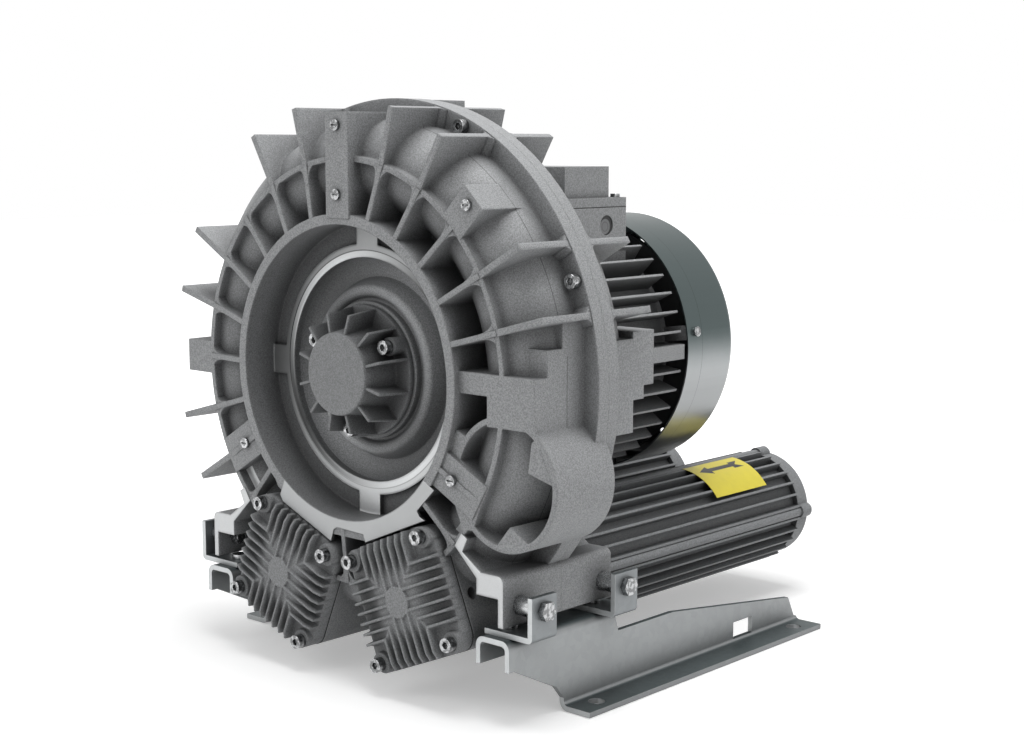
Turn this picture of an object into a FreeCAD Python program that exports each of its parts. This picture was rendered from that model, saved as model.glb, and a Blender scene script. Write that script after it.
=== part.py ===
import FreeCAD, Part
import math
import os
import re

import Sketcher

# Side channel blower, in millimetres.
# Every piece is drawn in the axis frame: X to the right, Y backwards along the shaft
# from the machined lip of the front casting, Z up from the shaft axis.
# Its Placement then carries it to the row's frame, whose origin lies on the floor in
# the middle of the four foot bolts.

document = FreeCAD.newDocument("side_channel_blower")
sizes = document.addObject("Spreadsheet::Sheet", "sizes")

dimensions = {
    # where the shaft lies
    "axis_height": 291,
    "slip_fit": 0.05,
    "bolt_gap": 0.1,
    "running_gap": 0.5,
    # flange joint of the two castings
    "flange_radius": 250,
    "flange_front": 33,
    "flange_width": 27,
    "joint_plane": 46.5,
    "flange_bolt_circle": 242,
    # side channel
    "channel_radius": 190,
    "channel_depth": 36,
    "channel_wall": 6,
    "channel_front": 22,
    "channel_rear": 71,
    # front casting
    "bearing_radius": 45,
    "bearing_width": 23,
    "bearing_front": 2,
    "seal_radius": 38,
    "hub_radius": 64,
    "hub_rear": 36,
    "well_depth": 7,
    "shoulder_inner": 67,
    "shoulder_outer": 80,
    "valley_radius": 90,
    "valley_depth": 19,
    "dish_radius": 104.8,
    "dish_step": 4,
    "lip_radius": 117,
    "recess_depth": 5,
    "plate_wall": 9,
    "collar_inner": 136,
    "collar_outer": 145.5,
    "collar_front": -35,
    "collar_floor": 9,
    "band_inner": 192.8,
    "band_outer": 197.8,
    "band_front": -29,
    "land_inner": 140,
    "bridge_width": 28,
    # ribs
    "inner_rib": 5,
    "outer_rib": 6,
    "rib_reach": 249,
    "rib_front": -30,
    "rear_rib_end": 115,
    "arm_width": 30,
    "arm_reach": 237,
    "arm_front": -36,
    "pad_reach": 196,
    "pad_width": 36,
    "pad_front": -33,
    "short_arm_width": 29,
    "short_arm_reach": 231.6,
    "short_arm_screw": 222,
    "boss_reach": 233,
    "boss_top": 14,
    "boss_low": 17.6,
    "block_inner": 178,
    "block_side": 232,
    "block_top": 15,
    "block_web_low": 4,
    "block_step": 38,
    "block_step_front": -13,
    "block_crown": 60,
    "block_crown_front": 6,
    "block_low": 30,
    # side port drum
    "drum_x": 198,
    "drum_drop": 78,
    "drum_radius": 58.8,
    "drum_wall": 5,
    "drum_front": -29,
    # rear casting
    "rear_plate": 78,
    "rear_hub_radius": 52,
    "rear_seal_radius": 36,
    "rear_hub_end": 100,
    "motor_seat": 126,
    "motor_ring_inner": 98,
    "motor_ring_outer": 118,
    "rear_foot_end": 116,
    # ports and covers
    "port_x": 81.5,
    "port_drop": 198,
    "port_turn": 22.5,
    "port_side": 117,
    "port_corner": 16,
    "port_bore": 46,
    "port_face": -20,
    "port_bolt_side": 97,
    "cover_plate": 12,
    "cover_fin_height": 12,
    "cover_fin": 2.5,
    "cover_fin_pitch": 8.5,
    "cover_hub": 15,
    "cover_margin": 1.6,
    "cover_land": 19.7,
    "cover_land_radius": 11,
    "gasket": 1,
    "cover_thread": 0,
    "web_front": -34,
    "web_half": 92,
    "web_foot": 30,
    "web_drop": 152,
    "arm_thread": -18,
    "stripper_width": 44,
    # cast foot
    "foot_inner": 166,
    "foot_outer": 197,
    "foot_top": 158,
    "foot_shelf": 178,
    "foot_low": 203,
    "foot_wall": 5.7,
    "foot_corner": 6,
    "foot_front": -30,
    # shaft line
    "shaft_radius": 20,
    "collar_radius": 25,
    "shaft_front": -6,
    "impeller_rear": 66,
    "impeller_front": 38,
    "rotor_front": 150,
    "rotor_length": 135,
    "rotor_radius": 61.5,
    "air_gap": 0.5,
    "rotor_seat": 27,
    "rear_bearing_front": 306,
    "rear_bearing_width": 18,
    "rear_bearing_radius": 40,
    "fan_seat": 16,
    "fan_front": 336,
    "fan_rear": 362,
    "spring_height": 2,
    "key_width": 12,
    "key_front": 42,
    "key_length": 20,
    "end_turn": 20,
    "end_ring": 8,
    "shaft_end": 366,
    "bearing_ring": 7,
    "impeller_web": 9,
    "impeller_hub": 46,
    "blade_count": 36,
    "blade": 3,
    "tip_gap": 0.6,
    "cap_radius": 61,
    "cap_flange": 5,
    "cap_face_radius": 38,
    "cap_front": -40,
    "cap_wall": 6,
    "cap_fin": 2.5,
    "cap_fin_reach": 56,
    "cap_bolt_circle": 53.5,
    "cap_land": -18,
    "cap_thread": 14,
    "slot_width": 1.6,
    "slot_depth": 1.5,
    "lock_nut_radius": 29,
    # motor
    "stator_radius": 98,
    "frame_wall": 8,
    "frame_end": 312,
    "frame_flange": 8,
    "fin_reach": 130,
    "fin": 2.5,
    "fin_front": 146,
    "lug_reach": 133,
    "lug_width": 15,
    "motor_bolt_circle": 112,
    "motor_thread": 112,
    "rod_thread": 104,
    "shield_wall": 7,
    "cowl_radius": 134.8,
    "cowl_front": 316,
    "cowl_end": 397,
    "sheet": 1.5,
    "fan_radius": 122,
    "fan_depth": 32,
    "cowl_hole": 330,
    # terminal box
    "box_half_width": 75,
    "box_front": 168,
    "box_length": 120,
    "box_seat": 112,
    "box_top": 145,
    "box_wall": 4,
    "lid_rim": 9,
    "lid_top": 186,
    "lid_inset": 5,
    "lid_hump_front": 198,
    "lid_hump_rear": 266,
    "entry_y": 257,
    "entry_z": 127.5,
    "entry_radius": 10,
    # silencers
    "silencer_front": 118,
    "silencer_length": 402,
    "silencer_shell": 52,
    "silencer_wall": 3.5,
    "silencer_fin_reach": 61.5,
    "silencer_fin": 2.5,
    "silencer_fins": 28,
    "liner_inner": 40,
    "core_inner": 38,
    "end_cap": 25,
    "end_port": 36,
    "end_bolt_circle": 57,
    # base rails
    "rail_sheet": 5,
    "rail_bend": 9,
    "rail_inner": 167,
    "rail_outer": 206,
    "rail_top": 213,
    "rail_toe": 238,
    "rail_nose": -32,
    "rail_step": 110,
    "rail_step_drop": 234,
    "rail_ramp": 200,
    "rail_tail": 400,
    "rail_tail_drop": 260,
    "rail_rear": 412,
    "rail_front_drop": 240,
    "rail_front_low": 30,
    "rail_lip_drop": 267,
    "window_front": 301,
    "window_length": 33,
    "window_top": 266,
    "shoe_reach": 236,
    "shoe_front": 40,
    "shoe_rear": 416,
    "foot_hole_x": 220,
    "foot_hole_front": 69,
    "foot_hole_pitch": 320,
    "foot_hole_radius": 7.75,
    # foot brackets
    "bracket_sheet": 5,
    "bracket_outer": 225,
    "bracket_inner": 170,
    "rail_bolt_x": 184.6,
    "spacer_radius": 9,
    "bracket_height": 40,
    "bracket_length": 32,
    "bracket_front": -24,
    "bracket_pitch": 112,
    "bracket_bolt_drop": 186,
    # fasteners
    "m8_head": 6.5,
    "m8_shank": 4,
    "m8_key": 3.5,
    "m10_head": 8,
    "m10_shank": 5,
    "m6_head": 5,
    "m6_shank": 3,
}


def fill_sheet():
    for row, (alias, size) in enumerate(dimensions.items(), start=1):
        sizes.set(f"A{row}", alias)
        sizes.set(f"B{row}", str(size))
        sizes.setAlias(f"B{row}", alias)
    document.recompute()


def bound(text):
    """Prefix every alias in an expression with the sheet's name."""
    swap = lambda word: f"sizes.{word[0]}" if word[0] in dimensions else word[0]
    return re.sub(r"[A-Za-z_]\w*", swap, str(text))


def value(text):
    result = sizes.evalExpression(bound(text))
    return float(getattr(result, "Value", result))


def seat(piece, x="0", y="0", z="0"):
    """Carry a piece from the axis frame to the row's frame."""
    piece.setExpression("Placement.Base.x", bound(x))
    piece.setExpression("Placement.Base.y", bound(f"{y} - foot_hole_front - foot_hole_pitch / 2"))
    piece.setExpression("Placement.Base.z", bound(f"{z} + axis_height"))


pieces = []


def new_piece(label, x="0", y="0", z="0"):
    body = document.addObject("PartDesign::Body", label)
    body.Label = label
    body.AllowCompound = True
    seat(body, x, y, z)
    pieces.append(body)
    return body


def origin_part(body, role):
    return next(item for item in body.Origin.OriginFeatures if item.Role == role)


def attach(sketch, body, plane, level="0", turn=0):
    """Lay a sketch on an origin plane, lifted to a level and turned about the shaft."""
    sketch.AttachmentSupport = [(origin_part(body, plane + "_Plane"), "")]
    sketch.MapMode = "FlatFace"
    sketch.AttachmentOffset = FreeCAD.Placement(
        FreeCAD.Vector(), FreeCAD.Rotation(FreeCAD.Vector(0, 1, 0), -turn)
    )
    sign = "-" if plane == "XZ" else ""
    sketch.setExpression("AttachmentOffset.Base.z", bound(f"{sign}({level})"))


def arc_between(start, end, radius, side):
    """Arc from start to end; side 1 keeps the centre on the left of the chord."""
    chord = end - start
    half = chord.Length / 2
    rise = math.sqrt(max(radius * radius - half * half, 0))
    left = FreeCAD.Vector(-chord.y, chord.x, 0).normalize()
    centre = (start + end) / 2 + left * rise * side
    first = math.atan2(start.y - centre.y, start.x - centre.x)
    last = math.atan2(end.y - centre.y, end.x - centre.x)
    circle = Part.Circle(centre, FreeCAD.Vector(0, 0, 1), radius)
    if side > 0:
        return Part.ArcOfCircle(circle, first, last), 1, 2
    return Part.ArcOfCircle(circle, last, first), 2, 1


def outline(sketch, corners):
    """Closed outline; a corner is (u, v) or (u, v, radius, side) when an arc arrives at it."""
    points = [FreeCAD.Vector(value(corner[0]), value(corner[1]), 0) for corner in corners]
    first = sketch.GeometryCount
    edges = []
    ends = []
    arcs = []
    for index, corner in enumerate(corners):
        start = points[index - 1]
        if len(corner) > 2:
            edge, tail, head = arc_between(start, points[index], value(corner[2]), corner[3])
            arcs.append((first + index, corner[2]))
        else:
            edge, tail, head = Part.LineSegment(start, points[index]), 1, 2
        edges.append(edge)
        ends.append((tail, head))
    sketch.addGeometry(edges, False)
    links = []
    ties = []
    base = sketch.ConstraintCount + len(corners)
    for index, corner in enumerate(corners):
        follower = (index + 1) % len(corners)
        here = first + index
        links.append(Sketcher.Constraint(
            "Coincident", here, ends[index][1], first + follower, ends[follower][0]))
        ties.append(("DistanceX", here, ends[index][1], points[index].x, corner[0]))
        ties.append(("DistanceY", here, ends[index][1], points[index].y, corner[1]))
    spans = [Sketcher.Constraint(kind, -1, 1, edge, end, size) for kind, edge, end, size, _ in ties]
    rounds = [Sketcher.Constraint("Radius", edge, value(radius)) for edge, radius in arcs]
    sketch.addConstraint(links + spans + rounds)
    texts = [tie[4] for tie in ties] + [radius for _, radius in arcs]
    for step, text in enumerate(texts):
        sketch.setExpression(f"Constraints[{base + step}]", bound(text))


def circle(sketch, u, v, radius):
    centre = FreeCAD.Vector(value(u), value(v), 0)
    here = sketch.addGeometry(Part.Circle(centre, FreeCAD.Vector(0, 0, 1), value(radius)), False)
    base = sketch.ConstraintCount
    sketch.addConstraint([
        Sketcher.Constraint("DistanceX", -1, 1, here, 3, centre.x),
        Sketcher.Constraint("DistanceY", -1, 1, here, 3, centre.y),
        Sketcher.Constraint("Radius", here, value(radius)),
    ])
    for step, text in enumerate((u, v, radius)):
        sketch.setExpression(f"Constraints[{base + step}]", bound(text))


def rectangle(low_u, low_v, high_u, high_v):
    return [(low_u, low_v), (high_u, low_v), (high_u, high_v), (low_u, high_v)]


def hexagon(u, v, radius):
    return [(f"{u} + ({radius}) * cos({60 * k})", f"{v} + ({radius}) * sin({60 * k})") for k in range(6)]


def draw(body, name, plane, shapes, level="0", turn=0):
    """Sketch with outlines (lists of corners) and circles (tuples of u, v, radius)."""
    sketch = body.newObject("Sketcher::SketchObject", f"{body.Name}_{name}_sketch")
    attach(sketch, body, plane, level, turn)
    for shape in shapes:
        if isinstance(shape, tuple):
            circle(sketch, *shape)
        else:
            outline(sketch, shape)
    return sketch


def feature(body, kind, name, sketch):
    made = body.newObject(f"PartDesign::{kind}", f"{body.Name}_{name}")
    made.Profile = sketch
    sketch.Visibility = False
    return made


def revolve(body, name, *outlines, kind="Revolution"):
    """Turn outlines of (radius, y) corners about the shaft axis."""
    sketch = draw(body, name, "XY", outlines)
    made = feature(body, kind, name, sketch)
    made.ReferenceAxis = (sketch, ["V_Axis"])
    made.Angle = 360
    return made


def groove(body, name, corners):
    return revolve(body, name, corners, kind="Groove")


def along(body, name, shapes, front, rear, kind="Pad"):
    """Prism along the shaft between two y levels, from shapes in X and Z."""
    sketch = draw(body, name, "XZ", shapes, front)
    made = feature(body, kind, name, sketch)
    made.setExpression("Length", bound(f"{rear} - ({front})"))
    made.Reversed = kind == "Pad"
    return made


def bore(body, name, shapes, front, rear):
    return along(body, name, shapes, front, rear, "Pocket")


def radial(body, name, corners, width, turn=0, kind="Pad"):
    """Plate in a plane through the shaft axis, from (radius, y) corners, centred on it."""
    sketch = draw(body, name, "XY", [corners], "0", turn)
    made = feature(body, kind, name, sketch)
    made.setExpression("Length", bound(width))
    made.Midplane = True
    return made


def upright(body, name, shapes, low, high, kind="Pad"):
    """Prism along Z between two levels, from shapes in X and Y."""
    sketch = draw(body, name, "XY", shapes, low)
    made = feature(body, kind, name, sketch)
    made.setExpression("Length", bound(f"{high} - ({low})"))
    made.Reversed = kind == "Pocket"
    return made


def sideways(body, name, shapes, low, high, kind="Pad"):
    """Prism along X between two levels, from shapes in Y and Z."""
    sketch = draw(body, name, "YZ", shapes, low)
    made = feature(body, kind, name, sketch)
    made.setExpression("Length", bound(f"{high} - ({low})"))
    made.Reversed = kind == "Pocket"
    return made


def repeat_round(body, name, features, count, angle=360):
    """Repeat features about the shaft axis."""
    pattern = body.newObject("PartDesign::PolarPattern", f"{body.Name}_{name}")
    pattern.Originals = features
    pattern.Axis = (origin_part(body, "Y_Axis"), [""])
    pattern.Angle = angle
    pattern.Reversed = True
    if isinstance(count, int):
        pattern.Occurrences = count
    else:
        pattern.setExpression("Occurrences", bound(count))
    body.Tip = pattern
    return pattern


def on_circle(radius, angle):
    """X and Z of a point on a circle about the shaft, as expressions."""
    return f"{radius} * cos({angle})", f"{radius} * sin({angle})"


flange_bolt_angles = [22.5, 67.5, 112.5, 157.5, 202.5, 337.5]
flange_bolts = [on_circle("flange_bolt_circle", angle) for angle in flange_bolt_angles]
cap_bolts = [on_circle("cap_bolt_circle", angle) for angle in (30, 150, 270)]
arm_screws = [on_circle(radius, angle) for radius, angle in (
    (163, 90), (225, 90), ("short_arm_screw", 45), (162, 210), (162, 330))]


shell = "(channel_depth + channel_wall)"
inner_edge = "channel_radius - channel_depth"
outer_edge = "channel_radius + channel_depth"
flange_rear = "flange_front + flange_width"
front_land = "joint_plane - impeller_web / 2 - running_gap"
rear_land = "joint_plane + impeller_web / 2 + running_gap"


def front_crest(radius):
    """Y of the front channel wall's outside at a radius."""
    return f"channel_front - sqrt({shell}^2 - ({radius} - channel_radius)^2)"


def front_wall(radius):
    """Corner halfway through the front channel's wall at a radius."""
    middle = "(channel_depth + channel_wall / 2)"
    return radius, f"channel_front - sqrt({middle}^2 - ({radius} - channel_radius)^2)"


def rear_wall(radius):
    middle = "(channel_depth + channel_wall / 2)"
    return radius, f"channel_rear + sqrt({middle}^2 - ({radius} - channel_radius)^2)"


across = [f"channel_radius + {share} * channel_depth" for share in (-1, -0.9, -0.6, -0.2, 0.2, 0.6, 0.9, 1)]


def turned(side, along_u, along_v):
    """Point of a port's own square, turned with the port, in X and Z."""
    turn = f"{side} * port_turn"
    return (
        f"{side} * port_x + ({along_u}) * cos({turn}) - ({along_v}) * sin({turn})",
        f"-port_drop + ({along_u}) * sin({turn}) + ({along_v}) * cos({turn})",
    )


def rounded_square(half, corner, place=lambda u, v: (u, v)):
    """Square with round corners, anticlockwise; place puts each point where it belongs."""
    near = f"({half} - {corner})"
    points = [
        (near, f"-{half}"), (half, f"-{near}"), (half, near), (near, half),
        (f"-{near}", half), (f"-{half}", near), (f"-{half}", f"-{near}"), (f"-{near}", f"-{half}"),
    ]
    placed = [place(u, v) for u, v in points]
    return [spot + (corner, 1) if index % 2 else spot for index, spot in enumerate(placed)]


def port_square(side, margin="0"):
    return rounded_square(
        f"(port_side / 2 + {margin})", f"(port_corner + {margin})", lambda u, v: turned(side, u, v))


def port_bolts(side):
    half = "port_bolt_side / 2"
    return [turned(side, u, v) for u in (half, f"-{half}") for v in (half, f"-{half}")]


ducts = [(f"{side} * port_x", "-port_drop", "port_bore") for side in (1, -1)]


motor_bolts = [on_circle("motor_bolt_circle", angle) for angle in (45, 135, 225, 315)]


def rod_spots(side):
    """Four tie rods about a silencer's axis."""
    reach = "end_bolt_circle"
    return [(f"{side} * port_x + {u} * {reach}", f"-port_drop + {v} * {reach}")
            for u, v in ((1, 0), (0, 1), (-1, 0), (0, -1))]


# flat faces inside the side port drum, from its middle
drum_plates = [
    [(-56, 41), (-46, 37), (-52, 16), (-24.6, -2.9), (-18, 2.4), (-37, -45), (-49, -45.8),
     (-57.5, -27.2), (-59.3, -21.6), (-78, -2)],
    [(30.7, 40), (26.8, 13.7), (53.5, 6.5), (36, 44)],
    [(-9, -54), (6.1, -35.5), (31, -49), (11, -56)],
]


def foot_tie(side):
    inner, outer = f"{side} * (foot_inner - 30)", f"{side} * (foot_inner + 6)"
    return rectangle(inner, "-foot_shelf - 2", outer, "-foot_top - 4")


def foot_section(side):
    """Cheek of the cast foot: a strip from the channel down to the shelf and its wall."""
    corners = [
        ("foot_inner - 26", "-foot_top + 19"), ("foot_inner - 18", "-foot_top + 31"),
        ("foot_inner - 11", "-foot_top + 27"), ("foot_inner - 17", "-foot_top + 15"),
        ("foot_inner + 5", "-foot_top"), ("foot_outer - foot_corner", "-foot_top"),
        ("foot_outer", "-foot_top - foot_corner", "foot_corner", -side),
        ("foot_outer", "-foot_low"), ("foot_outer - foot_wall", "-foot_low"),
        ("foot_outer - foot_wall", "-foot_shelf"), ("foot_inner", "-foot_shelf"),
        ("foot_inner", "-foot_top - foot_wall"),
    ]
    return [(f"{side} * ({corner[0]})",) + corner[1:] for corner in corners]


bracket_levels = [f"bracket_front + bracket_length / 2 + {step} * bracket_pitch" for step in (0, 1)]


def foot_wall_holes(body, level):
    """Holes for the bracket screws through both walls of the cast foot."""
    sideways(body, "foot_holes", [(level, "-bracket_bolt_drop", "m10_shank + bolt_gap")],
             "-foot_outer - 1", "foot_outer + 1", "Pocket")


def front_housing():
    body = new_piece("front_housing")
    bowl = "0.62 * sqrt((dish_radius - valley_radius + 4)^2 + (valley_depth - dish_step)^2)"
    revolve(body, "core", [
        ("bearing_radius", "0"),
        ("hub_radius", "0"),
        ("hub_radius", "well_depth"),
        ("shoulder_inner", "well_depth"),
        ("shoulder_outer", "well_depth", "0.52 * (shoulder_outer - shoulder_inner)", 1),
        ("valley_radius - 4", "valley_depth"),
        ("dish_radius", "dish_step", bowl, -1),
        ("dish_radius", "0"),
        ("lip_radius", "0"),
        ("lip_radius", "recess_depth"),
        ("collar_inner", "recess_depth"),
        ("collar_inner", "collar_front"),
        ("collar_outer", "collar_front"),
        ("collar_outer", "collar_floor"),
        (f"channel_radius - sqrt({shell}^2 - (channel_front - collar_floor)^2)", "collar_floor"),
        ("band_inner", front_crest("band_inner"), shell, 1),
        ("band_inner", "band_front"),
        ("band_outer", "band_front"),
        ("band_outer", front_crest("band_outer")),
        (f"channel_radius + {shell}", "channel_front", shell, 1),
        (f"channel_radius + {shell}", "flange_front"),
        ("flange_radius", "flange_front"),
        ("flange_radius", "joint_plane"),
        (outer_edge, "joint_plane"),
        (outer_edge, front_land),
        ("land_inner", front_land),
        ("land_inner", "recess_depth + plate_wall"),
        ("dish_radius + plate_wall / 2", "recess_depth + plate_wall"),
        ("dish_radius + plate_wall / 2", "valley_depth + plate_wall"),
        ("hub_radius", "valley_depth + plate_wall"),
        ("hub_radius", "hub_rear"),
        ("seal_radius", "hub_rear"),
        ("seal_radius", "bearing_front + bearing_width"),
        ("bearing_radius", "bearing_front + bearing_width"),
    ])
    radial(body, "arm", [
        ("collar_outer - 4", "arm_front"), ("arm_reach", "arm_front"), ("arm_reach", "flange_front + 1"),
        ("band_outer", "flange_front + 1"), ("collar_outer - 4", "collar_floor + 2"),
    ], "arm_width", 90)
    for angle in (210, 330):
        radial(body, f"pad{angle}", [
            ("collar_outer - 4", "pad_front"), ("pad_reach", "pad_front + 3"),
            ("pad_reach", front_crest("band_outer") + " + 3"),
            ("collar_outer + 6", "collar_floor + 2"), ("collar_outer - 4", "collar_floor + 2"),
        ], "pad_width", angle)
    radial(body, "short_arm", [
        ("band_outer - 3", "rib_front"), ("short_arm_reach", "rib_front"),
        ("short_arm_reach", "channel_front"), ("band_outer - 3", "channel_front - channel_depth"),
    ], "short_arm_width", 45)
    along(body, "boss", [rectangle("-boss_reach", "-boss_low", "-band_outer + 3", "boss_top")],
          "band_front", "flange_front + 1")
    along(body, "block", [rectangle("block_inner", "-block_low", "block_side", "block_top")],
          "band_front", "flange_front + 1")
    along(body, "block_web", [rectangle("collar_outer - 2", "-block_web_low", "block_inner + 2", "block_top")],
          "band_front", "collar_floor + 2")
    along(body, "block_shoulder", [rectangle(
        "channel_radius + 10", "block_top - 2", "block_side", "block_step",
    )], "block_step_front", "flange_front + 1")
    along(body, "block_crown", [rectangle(
        "channel_radius + 10", "block_step - 2", "block_side", "block_crown",
    )], "block_crown_front", "flange_front + 1")
    along(body, "drum", [
        ("drum_x", "-drum_drop", "drum_radius"), ("drum_x", "-drum_drop", "drum_radius - drum_wall"),
    ], "drum_front", "joint_plane")
    along(body, "drum_floor", [("drum_x", "-drum_drop", "drum_radius - 1")],
          "flange_front", "joint_plane")
    along(body, "drum_plates", [
        [(f"drum_x + {u}", f"-drum_drop + {v}") for u, v in plate] for plate in drum_plates
    ], "drum_front", "flange_front + 1")
    along(body, "ports", [port_square(1), port_square(-1)], "port_face", "joint_plane")
    along(body, "feet", [foot_section(1), foot_section(-1)], "foot_front", "joint_plane")
    along(body, "foot_ties", [foot_tie(1), foot_tie(-1)], "0", "joint_plane")
    web_corner = "0.8 * (collar_inner + 3)"
    along(body, "web", [[
        (f"-{web_corner}", "-0.6 * (collar_inner + 3)", "collar_inner + 3", -1),
        ("-web_half", "-0.78 * collar_outer - 4"), ("-web_foot", "-web_drop"),
        ("web_foot", "-web_drop"), ("web_half", "-0.78 * collar_outer - 4"),
        (web_corner, "-0.6 * (collar_inner + 3)"),
    ]], "web_front", "channel_front - channel_depth / 2")
    groove(body, "channel", [
        ("land_inner - 20", front_land),
        (inner_edge, front_land),
        (inner_edge, "channel_front"),
        ("channel_radius", "channel_front - channel_depth", "channel_depth", 1),
        (outer_edge, "channel_front", "channel_depth", 1),
        (outer_edge, "joint_plane + 1"),
        ("land_inner - 20", "joint_plane + 1"),
    ])
    bore(body, "ducts", ducts, "port_face", "joint_plane")
    radial(body, "stripper", [(f"{inner_edge} - 2", "channel_front")] + [
        front_wall(radius) for radius in across
    ] + [(f"{outer_edge} + 2", "channel_front")], "stripper_width", 270)
    bore(body, "flange_holes", [spot + ("m8_shank + bolt_gap",) for spot in flange_bolts],
         "flange_front", "joint_plane")
    bore(body, "cap_holes", [spot + ("m8_shank + bolt_gap",) for spot in cap_bolts], "0", "cap_thread")
    bore(body, "cover_holes", [
        spot + ("m8_shank + bolt_gap",) for side in (1, -1) for spot in port_bolts(side)
    ], "port_face", "cover_thread")
    foot_wall_holes(body, bracket_levels[0])
    bridge = radial(body, "bridge", rectangle(
        "lip_radius - 4", "0", "collar_inner + 4", "recess_depth + 2"), "bridge_width")
    repeat_round(body, "bridges", [bridge], 4)
    spoke = radial(body, "spoke", [
        ("collar_outer - 3", "collar_front"), ("band_inner + 3", "band_front - 1"),
    ] + [front_wall(radius) for radius in ("band_inner + 3",) + tuple(across[3::-1])] + [
        ("collar_outer - 3", "collar_floor + 2"),
    ], "inner_rib", 15)
    repeat_round(body, "spokes", [spoke], 22, 315)
    fin = [
        ("band_outer - 4", "band_front"), ("band_outer", "rib_front"), ("rib_reach", "rib_front"),
        ("rib_reach", "flange_front + 1"), (f"{outer_edge} + 3", "flange_front + 1"),
    ] + [front_wall(radius) for radius in across[:3:-1]] + [front_wall("band_outer - 4")]
    fins = [radial(body, f"fin{angle}", fin, "outer_rib", angle) for angle in (15, 30)]
    repeat_round(body, "fins", fins, 5, 180)
    bore(body, "cover_room", [port_square(1, "cover_margin"), port_square(-1, "cover_margin")],
         "arm_front - 4", "port_face")
    bore(body, "pad_seats", [spot + ("m6_head + running_gap",) for spot in arm_screws[3:]],
         "arm_front", "pad_front")
    bore(body, "arm_holes", [spot + ("m6_shank + bolt_gap",) for spot in arm_screws],
         "arm_front", "arm_thread")
    return body


def rear_housing():
    body = new_piece("rear_housing")
    back = "rear_plate + plate_wall"
    revolve(body, "core", [
        ("rear_seal_radius", "rear_plate"),
        ("rear_seal_radius", "rear_hub_end"),
        ("rear_hub_radius", "rear_hub_end"),
        ("rear_hub_radius", back),
        ("motor_ring_inner", back),
        ("motor_ring_inner", "motor_seat"),
        ("motor_ring_outer", "motor_seat"),
        ("motor_ring_outer", back),
        (f"channel_radius - sqrt({shell}^2 - ({back} - channel_rear)^2)", back),
        ("channel_radius", f"channel_rear + {shell}", shell, -1),
        (f"channel_radius + {shell}", "channel_rear", shell, -1),
        (f"channel_radius + {shell}", flange_rear),
        ("flange_radius", flange_rear),
        ("flange_radius", "joint_plane"),
        (outer_edge, "joint_plane"),
        (outer_edge, rear_land),
        ("land_inner", rear_land),
        ("land_inner", "rear_plate"),
    ])
    fin = [
        ("rib_reach", f"{flange_rear} - 1"), ("rib_reach", "rear_rib_end"),
        ("band_outer + 8", "rear_rib_end"),
    ] + [rear_wall(radius) for radius in across[4:]] + [(f"{outer_edge} + 3", f"{flange_rear} - 1")]
    fins = [radial(body, f"fin{angle}", fin, "outer_rib", angle) for angle in (15, 30)]
    repeat_round(body, "fins", fins, 5, 180)
    radial(body, "top_fin", fin, "arm_width", 90)
    web = radial(body, "web", [
        ("motor_ring_outer - 3", "motor_seat - 2"), ("motor_ring_outer + 6", "motor_seat - 2"),
    ] + [rear_wall(radius) for radius in across[3::-1]] + [
        ("motor_ring_outer - 3", f"{back} - 2"),
    ], "outer_rib", 15)
    repeat_round(body, "webs", [web], 12)
    along(body, "block", [rectangle(
        "channel_radius", "-46", "block_side - 2", "block_step",
    )], f"{flange_rear} - 1", "105")
    along(body, "block_mid", [rectangle(
        "channel_radius", "-17", "block_side - 2", "block_step",
    )], "104", "120")
    along(body, "block_end", [rectangle(
        "channel_radius", "-5", "block_side - 2", "block_step + 6",
    )], "104", "134")
    along(body, "ports", [port_square(1), port_square(-1)], "joint_plane", "silencer_front - gasket")
    along(body, "feet", [foot_section(1), foot_section(-1)], "joint_plane", "rear_foot_end")
    along(body, "foot_ties", [foot_tie(1), foot_tie(-1)], "joint_plane", "rear_foot_end - 10")
    groove(body, "channel", [
        ("land_inner - 20", rear_land),
        (inner_edge, rear_land),
        (inner_edge, "channel_rear"),
        ("channel_radius", "channel_rear + channel_depth", "channel_depth", -1),
        (outer_edge, "channel_rear", "channel_depth", -1),
        (outer_edge, "joint_plane - 1"),
        ("land_inner - 20", "joint_plane - 1"),
    ])
    bore(body, "ducts", ducts, "joint_plane", "silencer_front")
    radial(body, "stripper", [(f"{inner_edge} - 2", "channel_rear")] + [
        rear_wall(radius) for radius in across
    ] + [(f"{outer_edge} + 2", "channel_rear")], "stripper_width", 270)
    bore(body, "flange_holes", [spot + ("m8_shank + bolt_gap",) for spot in flange_bolts],
         "joint_plane", flange_rear)
    foot_wall_holes(body, bracket_levels[1])
    bore(body, "motor_holes", [spot + ("m6_shank + bolt_gap",) for spot in motor_bolts],
         "motor_thread", "motor_seat")
    bore(body, "rod_holes", [spot + ("m6_shank + bolt_gap",) for side in (1, -1) for spot in rod_spots(side)],
         "rod_thread", "silencer_front")
    return body


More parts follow.
